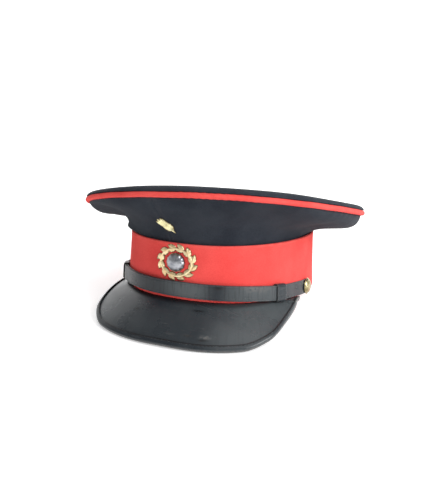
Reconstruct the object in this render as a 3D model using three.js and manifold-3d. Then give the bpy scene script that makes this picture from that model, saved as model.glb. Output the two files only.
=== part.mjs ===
// A peaked cap with a wide stiff-rimmed crown, a red band, a drooping leather peak, a chin strap
// held by two domed buttons, and a plain leaf badge. Millimetres, +Z up, the wearer's face towards -Y.
// The cap is laid out upright on its band, then tipped back to rest on its peak and the back of its band.

import * as THREE from "three";
import { mergeVertices } from "three/addons/utils/BufferGeometryUtils.js";
import Module from "manifold-3d";

const wasm = await Module();
wasm.setup();

// Driving dimensions

const GAP = 0.3;
const CLOTH = 1.6;
const SAME_CORNER = 1e-4;

const BAND = {
  halfLengthLow: 97.6,
  halfWidthLow: 83.6,
  halfLengthHigh: 99.8,
  halfWidthHigh: 80.8,
  roundness: 2.2,
  height: 49.6,
  swayLow: 1.4,
  swayHigh: 1.2,
  templeAngle: 54,
  templeSpread: 20,
  templeLeft: 1.9,
  templeRight: 1.4,
  wall: 2.2,
  steps: 70,
};

const RIM = {
  halfLength: 127.8,
  halfWidth: 124.7,
  roundness: 2.2,
  setBack: 0.9,
  height: 70.7,
  frontRise: 16.5,
  endRise: 2.7,
  askew: 7.2,
};

const PIPING = { radius: 2.3, sides: 8, steps: 64 };

// The top panel hangs over the piping a little and rolls up from it to a flat top.
const TOP = { overhang: 1.2, seat: 2.65, shoulderHeight: 4.8, shoulderWidth: 10.4, sag: 2.0, steps: 56 };
const TOP_SHARES = [0, 0.5, 0.916, 0.955, 0.985, 1];

// How a quarter leaves the band and reaches the rim, by angle from the front of the cap.
const QUARTER_SECTIONS = [
  { angle: 0, leaveOut: 3, leaveUp: 15, hangIn: 5, hangDown: 13 },
  { angle: 42, leaveOut: 3.2, leaveUp: 20.8, hangIn: 4.8, hangDown: 6.4 },
  { angle: 72, leaveOut: -0.5, leaveUp: 16.5, hangIn: 3.8, hangDown: 17.9 },
  { angle: 112, leaveOut: 21, leaveUp: 7.4, hangIn: 2.4, hangDown: 21 },
  { angle: 180, leaveOut: 12, leaveUp: 1, hangIn: 5, hangDown: 7 },
];
const QUARTER = { tuck: 7, inset: 1.4, seamTurn: -5, steps: 16 };
const QUARTER_SHARES = [0.05, 0.12, 0.26, 0.44, 0.62, 0.78, 0.9, 1];
const NEARBY = 0.005;

// On the wearer's right the cloth rolls out over the band's upper edge.
const QUARTER_ROLL = { angle: -65, spread: 24, out: 6, fullest: 0.09 };

// Soft folds of the sagging quarters.
const QUARTER_FOLDS = [
  { angle: 38, spread: 7, depth: 1.2 },
  { angle: 74, spread: 9, depth: 1.5 },
  { angle: 118, spread: 10, depth: 1.6 },
  { angle: 152, spread: 9, depth: 1.3 },
  { angle: -44, spread: 8, depth: 1.3 },
  { angle: -82, spread: 9, depth: 1.6 },
  { angle: -126, spread: 10, depth: 1.5 },
  { angle: -158, spread: 8, depth: 1.2 },
];

// The peak by share of its half span: how far it reaches from the band.
const PEAK_SECTIONS = [
  { along: 0, reach: 43.8 },
  { along: 0.25, reach: 44.9 },
  { along: 0.45, reach: 45.5 },
  { along: 0.6, reach: 40.0 },
  { along: 0.75, reach: 25.2 },
  { along: 0.88, reach: 12.8 },
  { along: 1, reach: 3.1 },
];
const PEAK = {
  halfSpan: 78,
  slopeFront: 43.1,
  slopeEnd: 14.2,
  fan: 0.62,
  bow: 1.6,
  wall: 2.0,
  rootInset: 0.5,
  flange: 5,
  steps: 46,
};
const BINDING = { leg: 4.6, legShare: 0.55, wall: 1.0, gap: 0.3 };
const FLATTENED = 0.5;

const STRAP = {
  width: 12.8,
  wall: 1.4,
  heightFront: 10.5,
  heightLeft: 5.9,
  heightRight: 8.7,
  keeperAngle: 58,
  landFrom: 76,
  landTo: 66,
  steps: 34,
  tipSteps: 5,
  tipShare: 0.12,
};
const HOLE = { radius: 2.3, depth: 12, sides: 12 };
const KEEPER = { width: 11, wall: 1.0, hold: 3.3, liftSpread: 11 };
const BUTTON = {
  angle: 86,
  radius: 7.4,
  dome: 2.8,
  domeSteps: 5,
  rimHeight: 0.7,
  shankRadius: 1.9,
  segments: 18,
};

const GARLAND = {
  x: -2.5,
  height: 32.4,
  halfWidth: 13.8,
  halfHeight: 11.4,
  stem: 2.0,
  stemHeight: 1.4,
  pairs: 12,
  leafLength: 8.4,
  leafWidth: 4.8,
  leafHeight: 2.0,
  splay: 17,
};
const BOSS = { radius: 8.0, edge: 0.8, height: 5.2, domeSteps: 4, flutes: 12, fluteDepth: 0.35 };
const SPRIG = {
  angle: -4.2,
  share: 0.33,
  turn: 128,
  stalkLength: 13,
  stalkWidth: 2.4,
  stalkOverlap: 4,
  leafLength: 10,
  leafWidth: 5.6,
  leafHeight: 1.8,
  splay: 23,
};
const SPRIG_LEAVES = [
  { back: 0, side: 0 },
  { back: 0, side: -1 },
  { back: 0, side: 1 },
  { back: 5.5, side: -1 },
  { back: 5.5, side: 1 },
];

const COLOURS = {
  darkWool: { color: 0x2b2f3a, roughness: 0.95, metalness: 0 },
  redWool: { color: 0xd94b4a, roughness: 0.9, metalness: 0 },
  patentLeather: { color: 0x17191b, roughness: 0.25, metalness: 0 },
  gilt: { color: 0xd8b560, roughness: 0.3, metalness: 1 },
  silver: { color: 0xa9adb5, roughness: 0.3, metalness: 1 },
};

// Plan curves

const signedPower = (value, power) => Math.sign(value) * Math.abs(value) ** power;

// A rounded oval, x across and y from front to back. Angle 0 is the front, 90 the wearer's left.
function ovalPoint(angle, halfWidth, halfLength, roundness) {
  const power = 2 / roundness;
  const x = halfWidth * signedPower(Math.sin(angle), power);
  const y = -halfLength * signedPower(Math.cos(angle), power);
  return new THREE.Vector2(x, y);
}

function ovalNormal(angle, halfWidth, halfLength, roundness) {
  const power = 2 - 2 / roundness;
  const x = signedPower(Math.sin(angle), power) / halfWidth;
  const y = -signedPower(Math.cos(angle), power) / halfLength;
  return new THREE.Vector2(x, y).normalize();
}

// A point on the band's outer face, or off it by an offset along the plan normal.
function bandPoint(angle, height, offset) {
  const share = height / BAND.height;
  const halfWidth = THREE.MathUtils.lerp(BAND.halfWidthLow, BAND.halfWidthHigh, share);
  const halfLength = THREE.MathUtils.lerp(BAND.halfLengthLow, BAND.halfLengthHigh, share);
  const plan = ovalPoint(angle, halfWidth, halfLength, BAND.roundness);
  const normal = ovalNormal(angle, halfWidth, halfLength, BAND.roundness);
  plan.addScaledVector(normal, offset);
  return new THREE.Vector3(plan.x, plan.y, height);
}

// Heights of the band's two edges: the upper one rises a little at the sides. The lower one dips there,
// but arches up over the temples.
const bandEnds = (angle) => 2 * Math.abs(Math.cos(angle)) ** (4 / BAND.roundness) - 1;
const bandHigh = (angle) => BAND.height - BAND.swayHigh * bandEnds(angle);

function bandLow(angle) {
  const away = (THREE.MathUtils.radToDeg(Math.abs(angle)) - BAND.templeAngle) / BAND.templeSpread;
  const temple = angle > 0 ? BAND.templeLeft : BAND.templeRight;
  return BAND.swayLow * bandEnds(angle) + temple * Math.exp(-(away ** 2));
}

// The line of the crown's rim, through the middle of its piping.
function rimPoint(angle) {
  const plan = ovalPoint(angle, RIM.halfWidth, RIM.halfLength, RIM.roundness);
  const forward = -plan.y / RIM.halfLength;
  const sideways = plan.x / RIM.halfWidth;
  const ends = 2 * forward ** 2 - 1;
  const height = RIM.height + RIM.frontRise * forward + RIM.endRise * ends + RIM.askew * sideways;
  return new THREE.Vector3(plan.x, plan.y + RIM.setBack, height);
}

// Solids

function geometryFrom(positions, index) {
  const geometry = new THREE.BufferGeometry();
  geometry.setAttribute("position", new THREE.Float32BufferAttribute(positions, 3));
  geometry.setIndex(index);
  return geometry;
}

function signedVolume(positions, index) {
  const corner = (i) => new THREE.Vector3().fromArray(positions, 3 * index[i]);
  let volume = 0;
  for (let i = 0; i < index.length; i += 3) {
    volume += corner(i).dot(corner(i + 1).cross(corner(i + 2))) / 6;
  }
  return volume;
}

// Merges shared corners, drops triangles that closed up to a line, and turns the faces outwards.
function closedSolid(geometry) {
  const bare = geometry.clone();
  for (const name of Object.keys(bare.attributes)) {
    if (name !== "position") bare.deleteAttribute(name);
  }
  const merged = mergeVertices(bare, SAME_CORNER);
  const source = merged.index.array;
  const index = [];
  for (let i = 0; i < source.length; i += 3) {
    const [a, b, c] = [source[i], source[i + 1], source[i + 2]];
    if (a !== b && b !== c && c !== a) index.push(a, b, c);
  }
  const positions = Array.from(merged.attributes.position.array);
  if (signedVolume(positions, index) < 0) index.reverse();
  const solid = geometryFrom(positions, index);
  solid.computeVertexNormals();
  return solid;
}

// A skin over rows of points, each row a loop. Rows close into a ring, or stop at two filled ends,
// where the first half of a loop is one face of a wall and the second half its other face, run back.
function loft(rows, ring) {
  const loop = rows[0].length;
  const at = (row, column) => (row % rows.length) * loop + (column % loop);
  const index = [];
  const quad = (a, b, c, d) => index.push(a, b, c, a, c, d);
  const spans = ring ? rows.length : rows.length - 1;
  for (let row = 0; row < spans; row++) {
    for (let column = 0; column < loop; column++) {
      quad(at(row, column), at(row + 1, column), at(row + 1, column + 1), at(row, column + 1));
    }
  }
  if (!ring) {
    const last = rows.length - 1;
    for (let column = 0; column < loop / 2 - 1; column++) {
      const across = loop - 1 - column;
      quad(at(0, column), at(0, column + 1), at(0, across - 1), at(0, across));
      quad(at(last, column), at(last, across), at(last, across - 1), at(last, column + 1));
    }
  }
  return closedSolid(geometryFrom(rows.flat().flatMap((point) => point.toArray()), index));
}

const wallLoop = (face, back) => [...face, ...[...back].reverse()];

function toManifold(geometry) {
  const vertProperties = new Float32Array(geometry.attributes.position.array);
  const triVerts = new Uint32Array(geometry.index.array);
  return new wasm.Manifold(new wasm.Mesh({ numProp: 3, vertProperties, triVerts }));
}

function fromManifold(solid) {
  const mesh = solid.getMesh();
  return closedSolid(geometryFrom(Array.from(mesh.vertProperties), Array.from(mesh.triVerts)));
}

const joined = (solids) => fromManifold(solids.map(toManifold).reduce((whole, piece) => whole.add(piece)));
const cut = (solid, tool) => fromManifold(toManifold(solid).subtract(toManifold(tool)));

const spread = (from, to, steps) =>
  Array.from({ length: steps + 1 }, (_, step) => THREE.MathUtils.lerp(from, to, step / steps));
const around = (steps) => spread(-Math.PI, Math.PI, steps).slice(0, steps);
const radians = THREE.MathUtils.degToRad;

// Reads a column of a short table at a key, on a smooth curve that never overshoots its rows.
function fromTable(table, key, column, value) {
  const last = table.length - 1;
  const step = (row, name) => table[row + 1][name] - table[row][name];
  const grade = (row) => step(row, column) / step(row, key);
  const lean = (row) => {
    if (row === 0 || row === last) return 0;
    const [before, after] = [grade(row - 1), grade(row)];
    return before * after <= 0 ? 0 : (2 * before * after) / (before + after);
  };
  const found = table.findIndex((row) => row[key] > value);
  const low = (found < 0 ? last : Math.max(1, found)) - 1;
  const span = step(low, key);
  const share = THREE.MathUtils.clamp((value - table[low][key]) / span, 0, 1);
  const rise = share * share * (3 - 2 * share);
  const bend = lean(low) * share * (1 - share) ** 2 - lean(low + 1) * share * share * (1 - share);
  return THREE.MathUtils.lerp(table[low][column], table[low + 1][column], rise) + span * bend;
}

// Rest: the cap leans back until the peak's edge and the back of the band meet one plane

const peakAlong = (angle) => Math.abs(angle) / radians(PEAK.halfSpan);

const peakReach = (angle) => fromTable(PEAK_SECTIONS, "along", "reach", peakAlong(angle));

// A frame on the peak at an angle of the band: where it starts, the way it runs out, and its upward normal.
function peakFrame(angle) {
  const root = bandPoint(angle, 0, -PEAK.rootInset);
  root.z = bandLow(angle) - GAP;
  const normal = ovalNormal(angle, BAND.halfWidthLow, BAND.halfLengthLow, BAND.roundness);
  const heading = Math.atan2(normal.x, -normal.y) * PEAK.fan;
  const slope = radians(THREE.MathUtils.lerp(PEAK.slopeFront, PEAK.slopeEnd, peakAlong(angle) ** 2));
  const level = new THREE.Vector3(Math.sin(heading), -Math.cos(heading), 0);
  const run = level.clone().multiplyScalar(Math.cos(slope));
  run.z = -Math.sin(slope);
  const up = level.clone().multiplyScalar(Math.sin(slope));
  up.z = Math.cos(slope);
  return { root, run, up, reach: peakReach(angle) };
}

// A point of the peak at a distance out from the band, raised off its bowed upper face.
function peakPoint(frame, distance, raised) {
  const share = THREE.MathUtils.clamp(distance / frame.reach, 0, 1);
  const bow = PEAK.bow * 4 * share * (1 - share) * Math.min(1, frame.reach / PEAK_SECTIONS[0].reach);
  return frame.root.clone().addScaledVector(frame.run, distance).addScaledVector(frame.up, bow + raised);
}

const bindingTop = BINDING.gap + BINDING.wall;
const bindingBottom = -PEAK.wall - BINDING.gap - BINDING.wall;
const peakAngles = spread(-radians(PEAK.halfSpan), radians(PEAK.halfSpan), PEAK.steps);
const backFoot = bandPoint(Math.PI, 0, 0).setZ(bandLow(Math.PI) + FLATTENED);

function restTilt() {
  const tilts = peakAngles.map((angle) => {
    const frame = peakFrame(angle);
    const edge = peakPoint(frame, frame.reach, bindingBottom);
    return Math.atan2(backFoot.z - edge.z - FLATTENED, backFoot.y - edge.y);
  });
  return Math.max(...tilts);
}

const tilt = restTilt();

// Lifts a point that would sink below the surface that the cap rests on up onto it.
function settled(point) {
  const floor = backFoot.z - (backFoot.y - point.y) * Math.tan(tilt);
  if (point.z < floor) point.z = floor;
  return point;
}

// Cloth pieces

// The band: a wall with a rounded upper edge, its back edge settled flat.
function bandGeometry() {
  const rows = around(BAND.steps).map((angle) => {
    const low = bandLow(angle);
    const high = bandHigh(angle);
    const round = BAND.wall / 3;
    const face = [
      settled(bandPoint(angle, low, -round / 2)),
      settled(bandPoint(angle, low + round, 0)),
      bandPoint(angle, (low + high) / 2, 0),
      bandPoint(angle, high - round, 0),
      bandPoint(angle, high, -round),
    ];
    const back = [
      settled(bandPoint(angle, low, -BAND.wall)),
      settled(bandPoint(angle, low + round, -BAND.wall)),
      bandPoint(angle, (low + high) / 2, -BAND.wall),
      bandPoint(angle, high - round, -BAND.wall),
      bandPoint(angle, high, -BAND.wall + round),
    ];
    return wallLoop(face, back);
  });
  return loft(rows, true);
}

function foldDepth(angle, share) {
  const turned = THREE.MathUtils.radToDeg(angle);
  const depth = QUARTER_FOLDS.reduce((sum, fold) => {
    const away = THREE.MathUtils.euclideanModulo(turned - fold.angle + 180, 360) - 180;
    return sum + fold.depth * Math.exp(-((away / fold.spread) ** 2));
  }, 0);
  return depth * Math.sin(Math.PI * share) ** 2;
}

// How far the cloth rolls out over the band: nothing at its edge, fullest just above it, then fading.
function rollOut(angle, share) {
  const away = (THREE.MathUtils.radToDeg(angle) - QUARTER_ROLL.angle) / QUARTER_ROLL.spread;
  const up = share / QUARTER_ROLL.fullest;
  return QUARTER_ROLL.out * Math.exp(-(away ** 2)) * up * Math.exp(1 - up);
}

// A section of the crown's side at one angle: it comes up inside the band, then runs out to the rim
// on a cubic curve whose two handles come from the table, moved by the folds and the roll.
function quarterSection(angle) {
  const start = bandPoint(angle, bandHigh(angle), -BAND.wall - GAP);
  const rim = rimPoint(angle);
  const outward = new THREE.Vector3(rim.x - start.x, rim.y - start.y, 0);
  const reach = outward.length() - QUARTER.inset;
  outward.normalize();
  const rise = rim.z - start.z - PIPING.radius - GAP;
  const turned = Math.abs(THREE.MathUtils.radToDeg(angle));
  const read = (column) => fromTable(QUARTER_SECTIONS, "angle", column, Math.min(turned, 360 - turned));
  const curve = new THREE.CubicBezierCurve(
    new THREE.Vector2(0, 0),
    new THREE.Vector2(read("leaveOut"), read("leaveUp")),
    new THREE.Vector2(reach - read("hangIn"), rise - read("hangDown")),
    new THREE.Vector2(reach, rise));
  const line = (share) => {
    const along = curve.getPoint(share);
    const tangent = curve.getTangent(share);
    const inwards = foldDepth(angle, share);
    along.x += rollOut(angle, share) - tangent.y * inwards;
    along.y += tangent.x * inwards;
    return along;
  };
  const heading = (share) =>
    line(Math.min(1, share + NEARBY)).sub(line(Math.max(0, share - NEARBY))).normalize();
  const place = (share, depth) => {
    const along = line(share);
    const tangent = heading(share);
    along.x -= tangent.y * depth;
    along.y += tangent.x * depth;
    return start.clone().addScaledVector(outward, along.x).setZ(start.z + along.y);
  };
  const leaving = heading(0);
  const corner = (CLOTH * leaving.x) / (1 + leaving.y);
  return { start, corner, place };
}

// A quarter: one panel of the crown's side between two seams, tucked down inside the band.
function quarterGeometry(seam) {
  const start = radians(seam + QUARTER.seamTurn);
  const seamHalf = GAP / 2 / BAND.halfWidthHigh;
  const rows = spread(start + seamHalf, start + Math.PI / 2 - seamHalf, QUARTER.steps).map((angle) => {
    const { start: mouth, corner, place } = quarterSection(angle);
    const hem = bandHigh(angle) - QUARTER.tuck;
    const inside = -BAND.wall - GAP;
    const face = [
      bandPoint(angle, hem, inside),
      mouth,
      ...QUARTER_SHARES.map((share) => place(share, 0)),
    ];
    const back = [
      bandPoint(angle, hem, inside - CLOTH),
      bandPoint(angle, mouth.z + corner, inside - CLOTH),
      ...QUARTER_SHARES.map((share) => place(share, CLOTH)),
    ];
    return wallLoop(face, back);
  });
  return loft(rows, false);
}

// The top panel: flat and a little slack in the middle, with a rolled shoulder down to the piping.
function topPoint(angle, share, depth) {
  const rim = rimPoint(angle);
  const outward = new THREE.Vector3(rim.x, rim.y - RIM.setBack, 0);
  const radius = outward.length() + TOP.overhang;
  outward.normalize();
  const climb = Math.max(0, 1 - ((1 - share) * radius) / TOP.shoulderWidth);
  const level = Math.sqrt(1 - climb ** 2);
  const slack = TOP.sag * (1 - share ** 2) ** 2;
  const height = THREE.MathUtils.lerp(RIM.height, rim.z, share) + TOP.seat + TOP.shoulderHeight * level - slack;
  const point = new THREE.Vector3(0, RIM.setBack, height - depth * level);
  return point.addScaledVector(outward, share * radius - depth * climb);
}

function topGeometry() {
  const rows = around(TOP.steps).map((angle) => {
    const face = TOP_SHARES.map((share) => topPoint(angle, share, 0));
    const back = TOP_SHARES.map((share) => topPoint(angle, share, CLOTH));
    return wallLoop(face, back);
  });
  return loft(rows, true);
}

// The piping: a round cord carried along the rim.
function pipingGeometry() {
  const rows = around(PIPING.steps).map((angle) => {
    const rim = rimPoint(angle);
    const normal = ovalNormal(angle, RIM.halfWidth, RIM.halfLength, RIM.roundness);
    return around(PIPING.sides).map((turn) => {
      const out = PIPING.radius * Math.cos(turn);
      const up = PIPING.radius * Math.sin(turn);
      return new THREE.Vector3(rim.x + normal.x * out, rim.y + normal.y * out, rim.z + up);
    });
  });
  return loft(rows, true);
}

// Leather pieces

// The peak: a wall that stands a little way up inside the band, then turns out under its lower edge.
function peakGeometry() {
  const shares = [0, 0.35, 0.7, 1];
  const rows = peakAngles.map((angle) => {
    const frame = peakFrame(angle);
    const edge = frame.reach - BINDING.wall - BINDING.gap;
    const inside = -BAND.wall - GAP;
    const top = bandLow(angle) + PEAK.flange;
    const face = [
      bandPoint(angle, top, inside),
      bandPoint(angle, frame.root.z, inside),
      ...shares.map((share) => peakPoint(frame, edge * share, 0)),
    ];
    const back = [
      bandPoint(angle, top, inside - PEAK.wall),
      bandPoint(angle, frame.root.z - PEAK.wall, inside - PEAK.wall),
      ...shares.map((share) => peakPoint(frame, edge * share, -PEAK.wall)),
    ];
    return wallLoop(face, back);
  });
  return loft(rows, false);
}

// The binding: a folded strip whose two legs lie on the two faces of the peak.
function bindingGeometry() {
  const rows = peakAngles.map((angle) => {
    const frame = peakFrame(angle);
    const leg = Math.min(BINDING.leg, BINDING.legShare * frame.reach);
    const inside = frame.reach - BINDING.wall;
    const at = (distance, raised) => settled(peakPoint(frame, distance, raised));
    const outer = [
      at(frame.reach - leg, bindingTop),
      at(frame.reach, bindingTop),
      at(frame.reach, bindingBottom),
      at(frame.reach - leg, bindingBottom),
    ];
    const inner = [
      at(frame.reach - leg, BINDING.gap),
      at(inside, BINDING.gap),
      at(inside, -PEAK.wall - BINDING.gap),
      at(frame.reach - leg, -PEAK.wall - BINDING.gap),
    ];
    return wallLoop(outer, inner);
  });
  return loft(rows, false);
}

// The straps sink from the front to the buttons, less on the wearer's right.
function strapHeight(angle) {
  const share = Math.min(1, Math.abs(angle) / radians(BUTTON.angle));
  const side = angle < 0 ? STRAP.heightRight : STRAP.heightLeft;
  return THREE.MathUtils.lerp(STRAP.heightFront, side, share ** 2);
}

// The straps stand off the band a little where a keeper passes behind them.
function keeperLift(angle) {
  const away = (Math.abs(angle) - radians(STRAP.keeperAngle)) / radians(KEEPER.liftSpread);
  return (KEEPER.wall + GAP) * Math.exp(-(away ** 4));
}

const layer = STRAP.wall + GAP;

// How far a strap's back lies off the band. The outer strap rides on the inner one, then comes down
// to the band between its keeper and its own button.
function strapOffset(angle, outer) {
  const clear = THREE.MathUtils.smoothstep(angle, -radians(STRAP.landFrom), -radians(STRAP.landTo));
  const rides = outer ? clear : 0;
  return GAP + keeperLift(angle) + layer * rides;
}

// A strap runs from its button, where its end is rounded, across the front to the far keeper.
function strapGeometry(outer) {
  const side = outer ? -1 : 1;
  const radius = STRAP.width / 2;
  const button = radians(BUTTON.angle);
  const perMillimetre = 1 / BAND.halfLengthLow;
  const tip = button + radius * perMillimetre;
  const far = -radians(STRAP.keeperAngle) - KEEPER.hold * perMillimetre;
  const roundEnd = spread(0, Math.PI / 2, STRAP.tipSteps).slice(0, STRAP.tipSteps).map((turn) => ({
    angle: button + (tip - button) * Math.cos(turn),
    half: radius * Math.max(STRAP.tipShare, Math.sin(turn)),
  }));
  const straight = spread(button, far, STRAP.steps).map((angle) => ({ angle, half: radius }));
  const rows = [...roundEnd, ...straight].map(({ angle, half }) => {
    const turned = side * angle;
    const near = strapOffset(turned, outer);
    const height = strapHeight(turned);
    const corner = (up, offset) => bandPoint(turned, height + up * half, offset);
    return wallLoop(
      [corner(-1, near + STRAP.wall), corner(1, near + STRAP.wall)],
      [corner(-1, near), corner(1, near)]);
  });
  return cut(loft(rows, false), shankHole(side));
}

// The way out of the band's face, which leans a little.
function bandOutward(angle, height) {
  const normal = ovalNormal(angle, BAND.halfWidthLow, BAND.halfLengthLow, BAND.roundness);
  const lean = bandPoint(angle, height - 0.5, 0).sub(bandPoint(angle, height + 0.5, 0));
  return new THREE.Vector3(normal.x, normal.y, lean.x * normal.x + lean.y * normal.y).normalize();
}

// Places a solid made along +Z on the band's face at a button's place, with +Z pointing out of it.
function standAtButton(geometry, side) {
  const angle = side * radians(BUTTON.angle);
  const height = strapHeight(angle);
  const outward = bandOutward(angle, height);
  const turn = new THREE.Quaternion().setFromUnitVectors(new THREE.Vector3(0, 0, 1), outward);
  const foot = bandPoint(angle, height, 0);
  return geometry.clone().applyQuaternion(turn).translate(foot.x, foot.y, foot.z);
}

function shankHole(side) {
  const drill = new THREE.CylinderGeometry(HOLE.radius, HOLE.radius, HOLE.depth, HOLE.sides)
    .rotateX(Math.PI / 2);
  return closedSolid(standAtButton(drill, side));
}

// A keeper: a flat leather loop round both straps.
function keeperGeometry(side) {
  const centre = side * radians(STRAP.keeperAngle);
  const half = KEEPER.width / 2 / BAND.halfLengthLow;
  const angles = spread(centre - half, centre + half, 2);
  const corners = [[-1, 0], [1, 0], [1, 1], [-1, 1]];
  const rows = corners.map(([up, out]) => {
    const at = (angle, grown) => {
      const behind = GAP + KEEPER.wall;
      const before = behind + GAP + 2 * layer;
      const offset = out ? before + grown : behind - grown;
      const height = strapHeight(angle) + up * (STRAP.width / 2 + GAP + grown);
      return bandPoint(angle, height, offset);
    };
    const face = angles.map((angle) => at(angle, KEEPER.wall));
    const back = angles.map((angle) => at(angle, 0));
    return wallLoop(face, back);
  });
  return loft(rows, true);
}

// Metal pieces

// A button: a low dome with a turned rim, on a shank that passes through the strap's hole.
function buttonGeometry(side) {
  const under = GAP + STRAP.wall + GAP;
  const rim = under + BUTTON.rimHeight;
  const dome = spread(0, Math.PI / 2, BUTTON.domeSteps).map((turn) => new THREE.Vector2(
    BUTTON.radius * Math.cos(turn), rim + BUTTON.dome * Math.sin(turn)));
  const profile = [
    new THREE.Vector2(0, GAP),
    new THREE.Vector2(BUTTON.shankRadius, GAP),
    new THREE.Vector2(BUTTON.shankRadius, under),
    new THREE.Vector2(BUTTON.radius, under),
    ...dome,
  ];
  profile[profile.length - 1].x = 0;
  const turned = new THREE.LatheGeometry(profile, BUTTON.segments).rotateX(Math.PI / 2);
  return closedSolid(standAtButton(turned, side));
}

// A pointed leaf lying along +X from the origin, with a raised rib, z up from its back.
function leafGeometry(length, width, height) {
  const sections = [
    { along: 0, wide: 0, tall: 0 },
    { along: 0.3, wide: 0.95, tall: 0.9 },
    { along: 0.62, wide: 0.85, tall: 1 },
    { along: 1, wide: 0, tall: 0.25 },
  ];
  const rows = sections.map(({ along, wide, tall }) => {
    const at = (across, up) => new THREE.Vector3(along * length, (across * wide * width) / 2, up * height);
    return [at(-1, 0), at(0, tall), at(1, 0), at(0, 0)];
  });
  return loft(rows, false);
}

// A closed oval stem with leaves in pairs that all run the same way round it.
function garlandGeometry() {
  const oval = (turn, out) => new THREE.Vector3(
    (GARLAND.halfWidth + out) * Math.cos(turn), (GARLAND.halfHeight + out) * Math.sin(turn), 0);
  const half = GARLAND.stem / 2;
  const stem = loft(around(2 * GARLAND.pairs).map((turn) => [
    oval(turn, -half),
    oval(turn, half),
    oval(turn, half).setZ(GARLAND.stemHeight),
    oval(turn, -half).setZ(GARLAND.stemHeight),
  ]), true);
  const leaves = around(GARLAND.pairs).flatMap((turn) => [-1, 1].map((side) => {
    const foot = oval(turn, 0);
    const ahead = Math.atan2(GARLAND.halfHeight * Math.cos(turn), -GARLAND.halfWidth * Math.sin(turn));
    const heading = ahead - side * radians(GARLAND.splay);
    return leafGeometry(GARLAND.leafLength, GARLAND.leafWidth, GARLAND.leafHeight)
      .rotateZ(heading).translate(foot.x, foot.y, 0);
  }));
  return bentOnBand(joined([stem, ...leaves]), GARLAND.x, GARLAND.height);
}

// Bends a flat ornament (x across, y up, z off the back) round the front of the band.
function bentOnBand(geometry, x, height) {
  const position = geometry.attributes.position;
  for (let i = 0; i < position.count; i++) {
    const across = (x + position.getX(i)) / BAND.halfWidthHigh;
    const angle = Math.asin(signedPower(across, BAND.roundness / 2));
    const point = bandPoint(angle, height + position.getY(i), GAP + position.getZ(i));
    position.setXYZ(i, point.x, point.y, point.z);
  }
  return closedSolid(geometry);
}

// The boss: a dome with shallow flutes round its foot.
function bossGeometry() {
  const profile = [new THREE.Vector2(0, 0), new THREE.Vector2(BOSS.radius, 0)];
  for (const turn of spread(0, Math.PI / 2, BOSS.domeSteps)) {
    const height = BOSS.edge + (BOSS.height - BOSS.edge) * Math.sin(turn);
    profile.push(new THREE.Vector2(BOSS.radius * Math.cos(turn), height));
  }
  profile[profile.length - 1].x = 0;
  const dome = new THREE.LatheGeometry(profile, 2 * BOSS.flutes).rotateX(Math.PI / 2);
  const position = dome.attributes.position;
  for (let i = 0; i < position.count; i++) {
    const turn = Math.atan2(position.getY(i), position.getX(i));
    const waist = 1 - (BOSS.fluteDepth / BOSS.radius) * (0.5 - 0.5 * Math.cos(BOSS.flutes * turn));
    position.setX(i, position.getX(i) * waist);
    position.setY(i, position.getY(i) * waist);
  }
  return bentOnBand(closedSolid(dome), GARLAND.x, GARLAND.height);
}

// The sprig: five leaves on a stalk, laid on the front of the crown.
function sprigGeometry() {
  const leaves = SPRIG_LEAVES.map(({ back, side }) =>
    leafGeometry(SPRIG.leafLength, SPRIG.leafWidth, SPRIG.leafHeight)
      .rotateZ(side * radians(SPRIG.splay)).translate(-back, 0, 0));
  const stalk = leafGeometry(SPRIG.stalkLength, SPRIG.stalkWidth, SPRIG.leafHeight)
    .rotateZ(Math.PI).translate(SPRIG.stalkOverlap, 0, 0);
  const flat = joined([...leaves, stalk]).rotateZ(radians(SPRIG.turn));
  const { place } = quarterSection(radians(SPRIG.angle));
  const nearby = 0.05;
  const perShare = place(SPRIG.share + nearby, 0).distanceTo(place(SPRIG.share - nearby, 0)) / (2 * nearby);
  const middle = place(SPRIG.share, 0);
  const radius = Math.hypot(middle.x, middle.y);
  const position = flat.attributes.position;
  for (let i = 0; i < position.count; i++) {
    const angle = radians(SPRIG.angle) + position.getX(i) / radius;
    const share = SPRIG.share + position.getY(i) / perShare;
    const point = quarterSection(angle).place(share, -GAP - position.getZ(i));
    position.setXYZ(i, point.x, point.y, point.z);
  }
  return closedSolid(flat);
}

// The cap

const pieces = [
  ["crown_top", topGeometry(), COLOURS.darkWool],
  ["crown_piping", pipingGeometry(), COLOURS.redWool],
  ["quarter_front_left", quarterGeometry(0), COLOURS.darkWool],
  ["quarter_back_left", quarterGeometry(90), COLOURS.darkWool],
  ["quarter_back_right", quarterGeometry(-180), COLOURS.darkWool],
  ["quarter_front_right", quarterGeometry(-90), COLOURS.darkWool],
  ["band", bandGeometry(), COLOURS.redWool],
  ["peak", peakGeometry(), COLOURS.patentLeather],
  ["peak_binding", bindingGeometry(), COLOURS.patentLeather],
  ["strap_outer", strapGeometry(true), COLOURS.patentLeather],
  ["strap_inner", strapGeometry(false), COLOURS.patentLeather],
  ["keeper_left", keeperGeometry(1), COLOURS.patentLeather],
  ["keeper_right", keeperGeometry(-1), COLOURS.patentLeather],
  ["button_left", buttonGeometry(1), COLOURS.gilt],
  ["button_right", buttonGeometry(-1), COLOURS.gilt],
  ["badge_garland", garlandGeometry(), COLOURS.gilt],
  ["badge_boss", bossGeometry(), COLOURS.silver],
  ["badge_sprig", sprigGeometry(), COLOURS.gilt],
];

const cap = new THREE.Group();
for (const [name, geometry, finish] of pieces) {
  const mesh = new THREE.Mesh(geometry, new THREE.MeshStandardMaterial(finish));
  mesh.name = name;
  cap.add(mesh);
}
cap.rotation.x = -tilt;

// The origin lies on the resting surface, under the middle of the cap.
const box = new THREE.Box3().setFromObject(cap, true);
cap.position.set(-(box.min.x + box.max.x) / 2, -(box.min.y + box.max.y) / 2, -box.min.z);

const standing = new THREE.Group();
standing.add(cap);

export default standing;
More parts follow.
